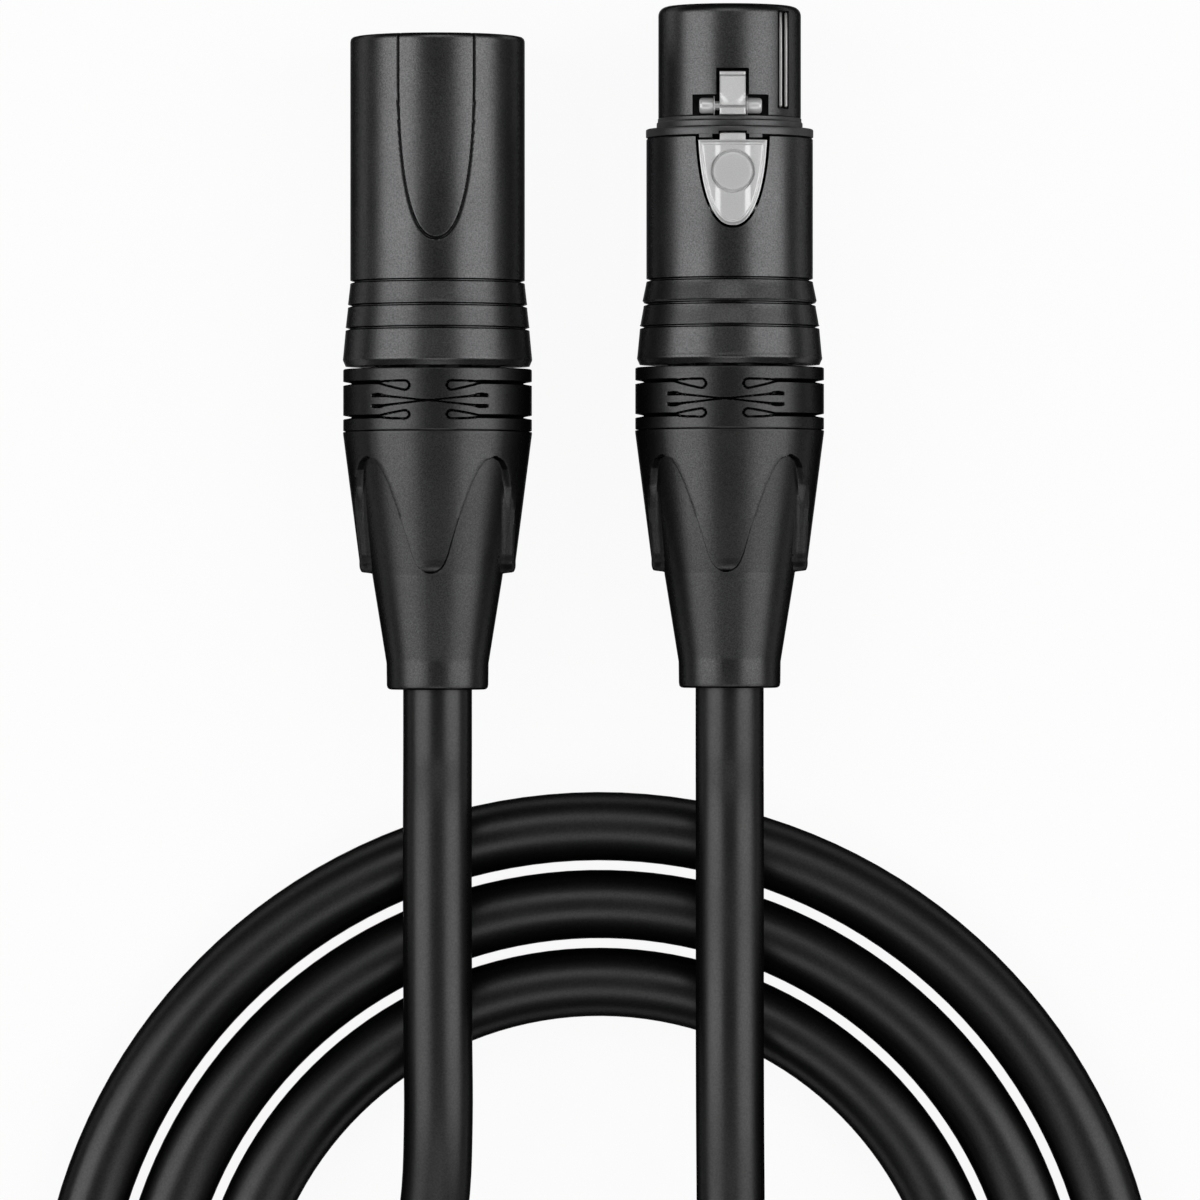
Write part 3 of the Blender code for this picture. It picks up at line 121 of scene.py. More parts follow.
class Shader:
    """A material's node tree, with short ways to add to it."""

    def __init__(self, name):
        self.material = bpy.data.materials.new(name)
        self.material.use_nodes = True
        self.tree = self.material.node_tree
        self.principled = self.tree.nodes["Principled BSDF"]
        self.coordinates = self.node("ShaderNodeTexCoord").outputs["Object"]

    def node(self, kind, **values):
        made = self.tree.nodes.new(kind)
        for name, value in values.items():
            setattr(made, name, value)
        return made

    def link(self, source, target):
        self.tree.links.new(source, target)

    def noise(self, scale, detail=2.0, stretch=(1.0, 1.0, 1.0)):
        mapping = self.node("ShaderNodeMapping")
        mapping.inputs["Scale"].default_value = stretch
        self.link(self.coordinates, mapping.inputs["Vector"])
        noise = self.node("ShaderNodeTexNoise")
        noise.inputs["Scale"].default_value = scale
        noise.inputs["Detail"].default_value = detail
        self.link(mapping.outputs["Vector"], noise.inputs["Vector"])
        return noise.outputs["Fac"]

    def roughness(self, value, low, high):
        mapped = self.node("ShaderNodeMapRange")
        mapped.inputs["From Min"].default_value = NOISE_RANGE[0]
        mapped.inputs["From Max"].default_value = NOISE_RANGE[1]
        mapped.inputs["To Min"].default_value = low
        mapped.inputs["To Max"].default_value = high
        self.link(value, mapped.inputs["Value"])
        self.link(mapped.outputs["Result"], self.principled.inputs["Roughness"])

    def colours(self, value, first, second):
        ramp = self.node("ShaderNodeValToRGB")
        stops = zip(ramp.color_ramp.elements, NOISE_RANGE, (first, second))
        for stop, position, colour in stops:
            stop.position = position
            stop.color = (*colour, 1.0)
        self.link(value, ramp.inputs["Fac"])
        self.link(ramp.outputs["Color"], self.principled.inputs["Base Color"])

    def bump(self, height, distance, strength):
        bump = self.node("ShaderNodeBump")
        bump.inputs["Distance"].default_value = distance * MM
        bump.inputs["Strength"].default_value = strength
        self.link(height, bump.inputs["Height"])
        self.link(bump.outputs["Normal"], self.principled.inputs["Normal"])


def grained(name, colour, roughness, grain, relief, strength, metallic=0.0, contrast=0.15,
            edge=1.0, stretch=(1.0, 1.0, 1.0)):
    """A moulded, painted or cast surface: grain is the size of its grains in millimetres, and edge
    how much its gloss grows towards a glancing view."""
    shader = Shader(name)
    fine = shader.noise(1.0 / (grain * MM), 2.0, stretch)
    broad = shader.noise(90.0, 3.0)
    dark = [channel * (1.0 - contrast) for channel in colour]
    light = [min(channel * (1.0 + contrast), 1.0) for channel in colour]
    shader.colours(fine, dark, light)
    shader.roughness(broad, roughness - 0.03, roughness + 0.04)
    shader.bump(fine, relief, strength)
    shader.principled.inputs["Metallic"].default_value = metallic
    shader.principled.inputs["Specular Tint"].default_value = (edge, edge, edge, 1.0)
    return shader.material


SHELL = grained("shell_coat", (0.083, 0.083, 0.0845), 0.33, 0.16, 0.02, 0.5, metallic=1.0,
                contrast=0.32, edge=0.15)
FLANGE = grained("flange_moulding", (0.095, 0.095, 0.097), 0.42, 0.16, 0.02, 0.3, metallic=1.0,
                 edge=0.3)
BOOT = grained("boot_rubber", (0.057, 0.057, 0.0575), 0.34, 0.14, 0.02, 0.55, metallic=1.0,
               contrast=0.32, edge=0.0)
COLLAR = grained("collar_moulding", (0.055, 0.055, 0.0555), 0.35, 0.14, 0.02, 0.5, metallic=1.0,
                 contrast=0.32, edge=0.0)
CORD = grained("cord_jacket", (0.046, 0.046, 0.046), 0.37, 0.22, 0.01, 0.25, metallic=1.0,
               edge=0.0)
INSERT = grained("insert_moulding", (0.016, 0.016, 0.016), 0.5, 0.2, 0.02, 0.3)
CHUCK = grained("chuck_moulding", (0.2, 0.2, 0.205), 0.5, 0.2, 0.02, 0.3)
CONTACT = grained("contact_plating", (0.42, 0.42, 0.41), 0.40, 0.25, 0.005, 0.2, metallic=0.6,
                  contrast=0.05, stretch=(1.0, 0.12, 1.0))
LATCH = grained("latch_casting", (0.66, 0.66, 0.66), 0.42, 0.12, 0.012, 0.35, metallic=0.35,
                contrast=0.06)
PIN = grained("pin_metal", (0.70, 0.70, 0.70), 0.36, 0.3, 0.005, 0.2, metallic=0.45,
              contrast=0.05, stretch=(0.12, 1.0, 1.0))
SPRING = grained("spring_metal", (0.62, 0.62, 0.63), 0.3, 0.2, 0.005, 0.2, metallic=1.0,
                 contrast=0.05)
SCREEN = grained("wire_screen", (0.62, 0.47, 0.36), 0.35, 0.12, 0.03, 0.5, metallic=1.0,
                 stretch=(1.0, 0.3, 1.0))
RED = grained("wire_red", (0.45, 0.02, 0.02), 0.35, 0.3, 0.005, 0.2, contrast=0.06)
WHITE = grained("wire_white", (0.7, 0.7, 0.68), 0.35, 0.3, 0.005, 0.2, contrast=0.04)


# --- mesh building ---------------------------------------------------------------------------

SMOOTH_ANGLE = 32.0                # degrees, an edge at which the surface still looks smooth
MERGE = 1e-7                       # metres between points that are one
TINY_EDGE = 3e-8                   # metres
HUB = 1e-5                         # millimetres, the least radius of a turned solid's end


def new_object(name, data, material):
    obj = bpy.data.objects.new(name, data)
    bpy.context.scene.collection.objects.link(obj)
    data.materials.append(material)
    return obj


def finish_mesh(obj, angle=SMOOTH_ANGLE):
    """Merge what coincides, turn the faces outwards, and smooth all but the sharp edges."""
    work = bmesh.new()
    work.from_mesh(obj.data)
    bmesh.ops.remove_doubles(work, verts=work.verts, dist=MERGE)
    bmesh.ops.recalc_face_normals(work, faces=work.faces)
    for face in work.faces:
        face.smooth = True
    limit = math.radians(angle)
    for edge in work.edges:
        edge.smooth = len(edge.link_faces) == 2 and edge.calc_face_angle() < limit
    work.to_mesh(obj.data)
    work.free()
    return obj


def grid_object(name, points, material, wrap_rows=False):
    """A tube through a grid of points, in metres, or a ring where its rows close too."""
    rows, columns = points.shape[:2]
    index = np.arange(rows * columns).reshape(rows, columns)
    if wrap_rows:
        index = np.vstack([index, index[:1]])
    index = np.hstack([index, index[:, :1]])
    faces = np.stack([index[:-1, :-1], index[:-1, 1:], index[1:, 1:], index[1:, :-1]], axis=-1)
    mesh = bpy.data.meshes.new(name)
    mesh.from_pydata(points.reshape(-1, 3).tolist(), [], faces.reshape(-1, 4).tolist())
    return new_object(name, mesh, material)


def along_axis(place, station):
    """Where a station lies in Y, in millimetres."""
    return place[1] + station - SHORTER[place] * np.maximum(station - SHORTER_FROM, 0.0)


def sampled(points, step):
    """The polyline with no stretch longer than step."""
    result = [points[0]]
    for start, end in zip(points, points[1:]):
        count = max(math.ceil(math.dist(start, end) / step), 1)
        for number in range(1, count + 1):
            share = number / count
            result.append(tuple(a + (b - a) * share for a, b in zip(start, end)))
    return result


def columns(*stretches):
    """Angles round the axis from (start, end, step) stretches in degrees, which close the round."""
    angles = [np.linspace(start, end, max(round((end - start) / step), 1), endpoint=False)
              for start, end, step in stretches]
    return np.concatenate(angles)


EVEN = columns((-180.0, 180.0, 2.0))


def sleeve(name, place, outer, inner, angles, material, relief=None):
    """A closed sleeve: outer runs from the tip's end to the rear, and inner back to the tip.

    angles is one row of columns round the axis, or a row for each point of outer."""
    profile = np.array([*outer, *inner])
    rows = np.atleast_2d(angles)
    rows = np.vstack([rows, np.tile(rows[-1], (len(profile) - len(rows), 1))])
    turn = np.radians(rows)
    station = np.repeat(profile[:, 1:], rows.shape[1], axis=1)
    radius = np.repeat(profile[:, :1], rows.shape[1], axis=1)
    if relief is not None:
        count = len(outer)
        radius[:count] += relief(turn[:count], station[:count])
    points = np.stack([place[0] + radius * np.sin(turn), along_axis(place, station),
                       AXIS_Z + radius * np.cos(turn)], axis=-1) * MM
    return finish_mesh(grid_object(name, points, material, wrap_rows=True))


def eased(value):
    value = np.clip(value, 0.0, 1.0)
    return value * value * (3 - 2 * value)


def from_line(across, along, line):
    """Distance to a polyline of (across, along, width, depth), and its width and depth there."""
    nearest = np.full(across.shape, np.inf)
    width = np.zeros(across.shape)
    depth = np.zeros(across.shape)
    for start, end in zip(line, line[1:]):
        run = (end[0] - start[0], end[1] - start[1])
        share = (across - start[0]) * run[0] + (along - start[1]) * run[1]
        share = np.clip(share / (run[0] ** 2 + run[1] ** 2), 0.0, 1.0)
        gap = np.hypot(across - start[0] - share * run[0], along - start[1] - share * run[1])
        closer = gap < nearest
        nearest = np.where(closer, gap, nearest)
        width = np.where(closer, start[2] + share * (end[2] - start[2]), width)
        depth = np.where(closer, start[3] + share * (end[3] - start[3]), depth)
    return nearest, width, depth


def groove(across, along, line, soft):
    """How deep a groove along the polyline is, with a share of its width in its soft sides."""
    gap, width, depth = from_line(across, along, line)
    return -depth * (1 - eased((gap / (width / 2) - (1 - soft)) / soft))


def apply_modifiers(obj, angle=SMOOTH_ANGLE):
    bpy.context.view_layer.update()
    shape = obj.evaluated_get(bpy.context.evaluated_depsgraph_get())
    mesh = bpy.data.meshes.new_from_object(shape)
    obj.modifiers.clear()
    obj.data = mesh
    return finish_mesh(obj, angle)


def cut(obj, *cutters):
    for cutter in cutters:
        modifier = obj.modifiers.new("cut", "BOOLEAN")
        modifier.object = cutter
        modifier.operation = "DIFFERENCE"
        modifier.solver = "EXACT"
    apply_modifiers(obj)
    for cutter in cutters:
        bpy.data.objects.remove(cutter)


def bevelled(obj, width):
    modifier = obj.modifiers.new("edges", "BEVEL")
    modifier.width = width * MM
    modifier.segments = 2
    modifier.limit_method = "ANGLE"
    modifier.angle_limit = math.radians(35.0)
    return apply_modifiers(obj, 40.0)


def drawn_out(name, place, ends, material):
    """A solid between two equal outlines of (across, station, height)."""
    work = bmesh.new()
    ends = [[work.verts.new(((place[0] + across) * MM, along_axis(place, station) * MM,
                             (AXIS_Z + height) * MM)) for across, station, height in end]
            for end in ends]
    count = len(ends[0])
    work.faces.new(ends[0])
    work.faces.new(ends[1])
    for number in range(count):
        following = (number + 1) % count
        work.faces.new((ends[0][number], ends[0][following], ends[1][following],
                        ends[1][number]))
    mesh = bpy.data.meshes.new(name)
    work.to_mesh(mesh)
    work.free()
    return finish_mesh(new_object(name, mesh, material))


def prism(name, place, outline, low, high, material):
    """An outline of (across, station) raised from low to high above the axis."""
    ends = [[(across, station, height) for across, station in outline] for height in (low, high)]
    return drawn_out(name, place, ends, material)


def side_prism(name, place, outline, left, right, material):
    """An outline of (station, height) drawn out across the connector."""
    ends = [[(across, station, height) for station, height in outline] for across in (left, right)]
    return drawn_out(name, place, ends, material)


def close_ends(obj, count, angle):
    """Close a grid's first and last row, of count points each."""
    work = bmesh.new()
    work.from_mesh(obj.data)
    work.verts.ensure_lookup_table()
    work.faces.new(work.verts[:count])
    work.faces.new(work.verts[len(work.verts) - count:])
    bmesh.ops.dissolve_degenerate(work, edges=work.edges, dist=TINY_EDGE)
    work.to_mesh(obj.data)
    work.free()
    return finish_mesh(obj, angle)


def settle(obj, body, slot, *nodes):
    """Put a piece in place of CAD nodes, riding on their body."""
    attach(obj, body)
    if nodes:
        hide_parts(*nodes)
    return obj


# --- camera ----------------------------------------------------------------------------------

camera_data = bpy.data.cameras.new("camera")
camera_data.lens = CAMERA_LENS
camera_data.sensor_width = 36.0
camera_data.clip_start = 0.01
camera_data.clip_end = 20.0
camera = bpy.data.objects.new("camera", camera_data)
camera.location = Vector(CAMERA_PLACE) * MM
bpy.context.scene.collection.objects.link(camera)
bpy.context.scene.camera = camera
bpy.context.view_layer.update()


# --- cord ------------------------------------------------------------------------------------


def coil_point(angle):
    radius = COIL_INNER_RADIUS
    for start in COIL_STEPS:
        radius += COIL_SPACING * float(eased((angle - start) / COIL_STEP_SWEEP))
    share = max(COIL_START + COIL_START_SWEEP - angle, 0.0) / COIL_START_SWEEP
    radius -= COIL_START_INSET * share * share
    turn = math.radians(angle)
    return Vector((COIL_CENTRE[0] + radius * math.cos(turn),
                   COIL_CENTRE[1] + radius * math.sin(turn), CORD_RADIUS))


def curve_through(route, step):
    """Points on a Catmull-Rom curve through the route, an even step apart."""
    route = [Vector(point) for point in route]
    padded = [2 * route[0] - route[1], *route, 2 * route[-1] - route[-2]]
    fine = []
    for before, start, end, after in zip(padded, padded[1:], padded[2:], padded[3:]):
        for number in range(CURVE_STEPS):
            share = number / CURVE_STEPS
            point = (2 * start + (end - before) * share
                     + (2 * before - 5 * start + 4 * end - after) * share ** 2
                     + (3 * start - before - 3 * end + after) * share ** 3)
            fine.append(point / 2)
    fine = np.array([tuple(point) for point in [*fine, route[-1]]])
    run = np.concatenate(([0.0], np.cumsum(np.linalg.norm(np.diff(fine, axis=0), axis=1))))
    places = np.linspace(0.0, run[-1], round(run[-1] / step) + 1)
    return np.stack([np.interp(places, run, fine[:, axis]) for axis in range(3)], axis=1)


def make_cord():
    diameter = 2 * CORD_RADIUS
    coil = [coil_point(angle) for angle in np.linspace(COIL_START, COIL_END, COIL_SAMPLES)]
    inner_heading = (coil_point(COIL_START + 0.01) - coil[0]).normalized()
    outer_heading = (coil_point(COIL_END + 0.01) - coil[-1]).normalized()
    to_tip = Vector((0.0, 1.0, 0.0))
    male_mouth = Vector((MALE[0], MALE[1] + CORD_INSIDE, AXIS_Z))
    female_mouth = Vector((FEMALE[0], FEMALE[1] + CORD_INSIDE, AXIS_Z))
    male_lead = curve_through([male_mouth, male_mouth - to_tip * diameter, *MALE_LEAD,
                               coil[0] - 2 * inner_heading * diameter,
                               coil[0] - inner_heading * diameter, coil[0]], LEAD_SAMPLE)
    female_lead = curve_through([coil[-1], coil[-1] + outer_heading * diameter,
                                 coil[-1] + 2 * outer_heading * diameter, *FEMALE_LEAD,
                                 female_mouth - to_tip * diameter, female_mouth], LEAD_SAMPLE)
    points = np.concatenate([male_lead[:-1], [tuple(point) for point in coil[1:-1]],
                             female_lead[1:]])
    points = points * MM
    curve = bpy.data.curves.new("cable_cord", "CURVE")
    curve.dimensions = "3D"
    curve.bevel_depth = CORD_RADIUS * MM
    curve.bevel_resolution = 8
    curve.use_fill_caps = True
    curve.twist_mode = "MINIMUM"
    spline = curve.splines.new("POLY")
    spline.points.add(len(points) - 1)
    for point, place in zip(spline.points, points):
        point.co = (*place, 1.0)
    spline.use_smooth = True
    cord = settle(new_object("cable_cord", curve, CORD), "cable", "cord",
                  "cable_lead_male", "cable_coil", "cable_lead_female")


make_cord()


# --- boots and collars -----------------------------------------------------------------------

ROLLS = {"male": -4.8, "female": -3.8}          # degrees, how far boots and collars are turned
BOOT_TOP = 28.4
SKIRT_END = 14.2
SKIRT_TOP = 10.45
SKIRT_LOW = 8.62
LOBE_TIP = (12.95, 12.76)          # where the lobes' end faces start and stop
LOBE_ROUND = 13.75                 # where their rounded ends start
LOBE_FALL = 0.5                    # and how far these fall towards the axis
CONE_TOP = 12.55                   # where the inner cone comes out below the lobes
CONE_TOP_RADIUS = 7.17
CONE_FOOT = 2.9
CONE_RADIUS = 5.63
SCALLOP_TOP = 25.6
SCALLOP_TOP_RADIUS = 9.45
LOBES_END = 26.9                   # above them the boot is round
# half the width of a lobe in degrees round the axis, by station
LOBE_STATIONS = (12.7, 12.95, 13.3, 13.8, 14.8, 16.5, 19.8, 22.3, 24.2, 25.1, 25.6, 26.4)
LOBE_ANGLES = (0.0, 5.0, 8.5, 11.2, 14.0, 17.0, 23.0, 28.2, 33.6, 38.2, 45.0, 60.0)
LOBE_EDGE = 0.34                   # the width of a lobe's edge, in millimetres round the boot
SIDE_EDGE = 1.5                    # and what it grows to at the boot's sides
SIDE_FROM = (50.0, 62.0)           # where it grows, in degrees from the top or the bottom
SIDE_BELOW = (24.0, 18.0)          # and in stations


def skirt(station):
    share = (station - SKIRT_END) / (BOOT_TOP - SKIRT_END)
    round_off = np.clip((LOBE_ROUND - station) / (LOBE_ROUND - LOBE_TIP[1]), 0.0, 1.0)
    return (SKIRT_LOW + np.maximum(share, 0.0) * (SKIRT_TOP - SKIRT_LOW)
            - LOBE_FALL * (1 - np.sqrt(1 - round_off ** 2)))


def cone(station):
    share = (station - CONE_FOOT) / (CONE_TOP - CONE_FOOT)
    low = CONE_RADIUS + share * (CONE_TOP_RADIUS - CONE_RADIUS)
    share = np.clip((station - CONE_TOP) / (SCALLOP_TOP - CONE_TOP), 0.0, 1.0)
    high = CONE_TOP_RADIUS + share * (SCALLOP_TOP_RADIUS - CONE_TOP_RADIUS)
    return np.where(station < CONE_TOP, low, high)


def boot_relief(roll):
    def relief(turn, station):
        """From the skirt's surface in to the cone, between the four lobes."""
        off_lobe = np.abs((np.degrees(turn) - roll + 45.0) % 90.0 - 45.0)
        edge = np.interp(station, LOBE_STATIONS, LOBE_ANGLES)
        past = np.radians(off_lobe - edge) * skirt(station)
        from_top = 90.0 - np.abs(90.0 - np.abs((np.degrees(turn) + 180.0) % 360.0 - 180.0))
        soft = (eased((from_top - SIDE_FROM[0]) / (SIDE_FROM[1] - SIDE_FROM[0]))
                * eased((SIDE_BELOW[0] - station) / (SIDE_BELOW[0] - SIDE_BELOW[1])))
        wide = LOBE_EDGE + (SIDE_EDGE - LOBE_EDGE) * soft
        inside = eased(past / wide + 0.5)
        face = 1 - eased((station - LOBE_TIP[1]) / (LOBE_TIP[0] - LOBE_TIP[1]))
        drop = np.minimum(cone(station) - skirt(station), 0.0)
        between = (station > CONE_TOP) & (station < LOBES_END)
        return np.where(between, drop * np.maximum(inside, face), 0.0)
    return relief


def boot_angles(station, roll):
    """Columns that keep to the lobes' edges, four lobes round."""
    edge = float(np.clip(np.interp(station, LOBE_STATIONS, LOBE_ANGLES), 4.0, 41.0))
    half = np.concatenate([np.linspace(0.0, edge - 1.2, 8, endpoint=False),
                           np.linspace(edge - 1.2, edge + 1.2, 6, endpoint=False),
                           np.linspace(edge + 1.2, 45.0, 8, endpoint=False)])
    lobe = np.concatenate([[-45.0], -half[:0:-1], half])
    return np.concatenate([lobe + roll + 90.0 * number for number in (-2, -1, 0, 1)])


def make_boot(side, place):
    roll = ROLLS[side]
    outer = [(10.2, BOOT_TOP), (10.40, 28.36)]
    for stations in (np.linspace(28.2, SKIRT_END, 127), np.linspace(14.05, 13.4, 8),
                     np.linspace(13.34, 12.63, 14)):
        outer += [(float(skirt(station)), station) for station in stations]
    outer += sampled([(CONE_TOP_RADIUS, 12.5), (CONE_RADIUS, CONE_FOOT)], 0.6)
    outer += [(5.6, 0.55), (5.53, 0.22), (5.35, 0.05), (5.1, 0.0)]
    inner = [(4.1, 0.0), (4.1, 26.4), (8.7, 26.6), (8.7, BOOT_TOP)]
    angles = np.array([boot_angles(station, roll) for _, station in outer])
    boot = sleeve(f"{side}_boot_skin", place, outer, inner, angles, BOOT, boot_relief(roll))
    settle(boot, "cable", "boot", f"{side}_boot")


COLLAR_RADIUS = 10.4
COLLAR_MIDDLE = 31.68
# a slot's level, and from there its loop's outer and inner line
COLLAR_SLOTS = ((33.70, 0.16, -0.88), (29.97, -0.28, 0.64))
SLOT_HALF = 0.21                   # half a slot's width
SLOT_DEPTH = 0.95
SLOT_START = (5.3, 6.5)            # arc where it starts, and where it reaches its depth
LOOP_LINE = (0.25, 0.5)            # width and depth
# arc, half height and width of the pinched figure's lines, and of its broad ends'
SPINDLE = ((0.0, 0.03, 0.20), (1.0, 0.09, 0.20), (3.0, 0.31, 0.22), (4.6, 0.46, 0.25),
           (5.3, 0.54, 0.34))
SPINDLE_END = ((5.5, 0.58, 0.44), (6.1, 0.62, 0.50), (6.75, 0.58, 0.44))


def teardrop(side, level, outward, inward):
    """The outline of a slot's end, from the slot into its loop and back, towards one side."""
    near, far = level + outward, level + inward
    middle = (near + far) / 2
    reach = (far - near) / 2
    line = [(side * 7.0, level), (side * 6.0, level + 0.25 * outward),
            (side * 4.4, level + 0.80 * outward)]
    for angle in np.linspace(-90.0, 90.0, 9):
        turn = math.radians(angle)
        line.append((side * (2.60 - 0.52 * math.cos(turn)), middle + reach * math.sin(turn)))
    line += [(side * 4.4, level + 0.55 * inward), (side * 6.0, level + 0.10 * inward),
             (side * 7.0, level)]
    return [(x, y, *LOOP_LINE) for x, y in line]


def collar_relief(roll):
    def relief(turn, station):
        """Slots that stop short of the front and back, their looped ends, and a pinched figure."""
        across = ((np.degrees(turn) - roll + 90.0) % 180.0 - 90.0) * math.pi / 180 * COLLAR_RADIUS
        depth = np.zeros(turn.shape)
        for side in (-1, 1):
            for level, outward, inward in COLLAR_SLOTS:
                loop = teardrop(side, level, outward, inward)
                depth = np.minimum(depth, groove(across, station, loop, 0.9))
            for half in (-1.0, 1.0):
                for figure, deep in ((SPINDLE, 0.45), (SPINDLE_END, 0.85)):
                    line = [(side * x, COLLAR_MIDDLE + half * y, width, deep)
                            for x, y, width in figure]
                    depth = np.minimum(depth, groove(across, station, line, 0.95))
        for level, outward, inward in COLLAR_SLOTS:
            gap = np.clip(np.abs(station - level) / SLOT_HALF, 0.0, 1.0)
            started = eased((np.abs(across) - SLOT_START[0]) / (SLOT_START[1] - SLOT_START[0]))
            depth = np.minimum(depth, -SLOT_DEPTH * (1 - gap ** 1.5) * started)
        return depth
    return relief


def make_collar(side, place):
    roll = ROLLS[side]
    outer = [(9.9, 35.3), (10.25, 35.3), (10.38, 35.22)]
    outer += [(COLLAR_RADIUS, station) for station in np.linspace(35.1, 28.72, 134)]
    outer += [(COLLAR_RADIUS, 28.56), (10.37, 28.49), (10.2, 28.45), (9.9, 28.45)]
    inner = [(8.75, 28.45), (8.75, 35.3)]
    angles = columns((-137.0, -43.0, 3.0), (-43.0, 43.0, 0.6), (43.0, 137.0, 3.0),
                     (137.0, 223.0, 0.6)) + roll
    collar = sleeve(f"{side}_collar_skin", place, outer, inner, angles, COLLAR, collar_relief(roll))
    settle(collar, "cable", "collar", f"{side}_collar")


for side, place in (("male", MALE), ("female", FEMALE)):
    make_boot(side, place)
    make_collar(side, place)


# --- shells ----------------------------------------------------------------------------------

TIP_POWER = 2.3                    # a tip fuller than half an ellipse
MALE_RADIUS = 9.62
TONGUE_HALF_WIDTH = 4.33
TONGUE_CENTRE = 67.6
TONGUE_TIP = 18.1
TONGUE_FRONT = 74.0                # past the barrel's mouth
TONGUE_LINE = (0.44, 0.34)         # width and depth of its groove
# each line groove's station, and how far back its ridge ends
RIDGES = ((44.9, 2.27), (42.25, 2.27), (39.72, 3.2))
RIDGE_GROOVE = 0.45                # its depth


def ridges(band, steps):
    """The line grooves and flared ridges behind a barrel, from front to rear."""
    rows = []
    for (front, back), (high, low) in zip(RIDGES, steps):
        rows += [(high, front + 0.24), (high, front + 0.19), (high - 0.06, front + 0.14),
                 (high - RIDGE_GROOVE, front + 0.03), (high - RIDGE_GROOVE, front - 0.03),
                 (high - 0.06, front - 0.14), (high, front - 0.19), (high + 0.01, front - 0.26)]
        rows += [(high + (low - high) * share, front - 0.26 - (back - 0.26) * share)
                 for share in (0.1, 0.35, 0.65, 0.9, 1.0)]
    rows += [(band, 36.35), (band - 0.03, 36.2), (band - 0.09, 36.08), (band - 0.3, 35.6)]
    return rows


def rounded_tip(half, tip, centre, front, count):
    """A tip's outline, from its front left corner round to its front right one."""
    start = math.asin(((centre - front) / tip) ** (TIP_POWER / 2))
    result = []
    for angle in np.linspace(math.pi + start, 2 * math.pi - start, count):
        x, y = math.cos(angle), -math.sin(angle)
        result.append((math.copysign(half * abs(x) ** (2 / TIP_POWER), x),
                       centre - tip * max(y, 0.0) ** (2 / TIP_POWER)))
    return result


def male_relief(turn, station):
    across = turn * MALE_RADIUS
    tip = rounded_tip(TONGUE_HALF_WIDTH, TONGUE_TIP, TONGUE_CENTRE, TONGUE_CENTRE, 61)
    outline = [(-TONGUE_HALF_WIDTH, TONGUE_FRONT), *tip, (TONGUE_HALF_WIDTH, TONGUE_FRONT)]
    outline = [(x, y, *TONGUE_LINE) for x, y in outline]
    near = (station > 47.0) & (np.abs(turn) < 0.7)
    depth = np.zeros(turn.shape)
    depth[near] = groove(across[near], station[near], outline, 0.95)
    return depth


def make_male_shell():
    outer = [(8.75, 72.31), (9.1, 72.31), (9.36, 72.25), (9.53, 72.09), (9.60, 71.9)]
    outer += [(MALE_RADIUS, station)
              for station in (71.7, *np.linspace(71.6, 49.0, 262), 47.5, 46.0)]
    outer += ridges(10.44, ((MALE_RADIUS, 9.85), (9.88, 10.11), (10.14, 10.42)))
    inner = [(7.0, 35.6), (7.0, 50.0), (8.2, 50.2), (8.2, 71.9), (8.3, 72.2), (8.5, 72.31)]
    angles = columns((-180.0, -30.0, 3.0), (-30.0, 30.0, 0.42), (30.0, 180.0, 3.0))
    shell = sleeve("male_shell_skin", MALE, outer, inner, angles, SHELL, male_relief)
    settle(shell, "cable", "shell", "male_shell")


make_male_shell()

FEMALE_RADIUS = 9.18
TAB_HALF_WIDTH = 3.8
TAB_CENTRE = 63.02                 # of its tip's half ellipse
TAB_TIP = 12.3
TAB_FRONT = 60.10
WINDOW_GAP = 0.33


def make_female_shell():
    outer = [(8.9, 60.65), (9.08, 60.62), (FEMALE_RADIUS, 60.5)]
    outer += [(FEMALE_RADIUS, station) for station in np.linspace(60.2, 45.6, 40)]
    outer += ridges(10.22, ((FEMALE_RADIUS, 9.60), (9.48, 9.84), (9.90, 10.18)))
    inner = [(7.0, 35.6), (7.0, 49.0), (7.6, 49.2), (7.6, 60.65)]
    shell = sleeve("female_shell_skin", FEMALE, outer, inner, EVEN, SHELL)
    window = rounded_tip(TAB_HALF_WIDTH + WINDOW_GAP, TAB_TIP + WINDOW_GAP, TAB_CENTRE, TAB_FRONT,
                         64)
    window = [(window[0][0], 61.5), *window, (window[-1][0], 61.5)]
    cutter = prism("tab_window", LATCH_PLACE, window, 4.4, 12.0, SHELL)
    cut(shell, cutter)
    settle(shell, "cable", "shell", "female_shell")


make_female_shell()


# --- female nose, flange and latch -----------------------------------------------------------

HOOK_HALF = 1.41                   # half the width of the latch's hook and arm
CROSS_PIN = (63.95, 6.9)           # its station, and its height above the axis
DISC_CENTRE = 56.65
CONTACTS = ((4.0, 0.0), (-4.0, 0.0), (0.0, -4.0))


def rectangle(left, right, low, high):
    return [(left, low), (right, low), (right, high), (left, high)]


def block(name, place, across, along, top, bottom, material):
    """A solid below a grid of heights above the axis, down to a flat bottom."""
    corners = (len(across), 2)
    across = np.hstack([across, across[:, -1:], across[:, :1]])
    along = np.hstack([along, along[:, -1:], along[:, :1]])
    top = np.hstack([top, np.full(corners, bottom)])
    points = np.stack([place[0] + across, along_axis(place, along), AXIS_Z + top], axis=-1) * MM
    return close_ends(grid_object(name, points, material), across.shape[1], 40.0)


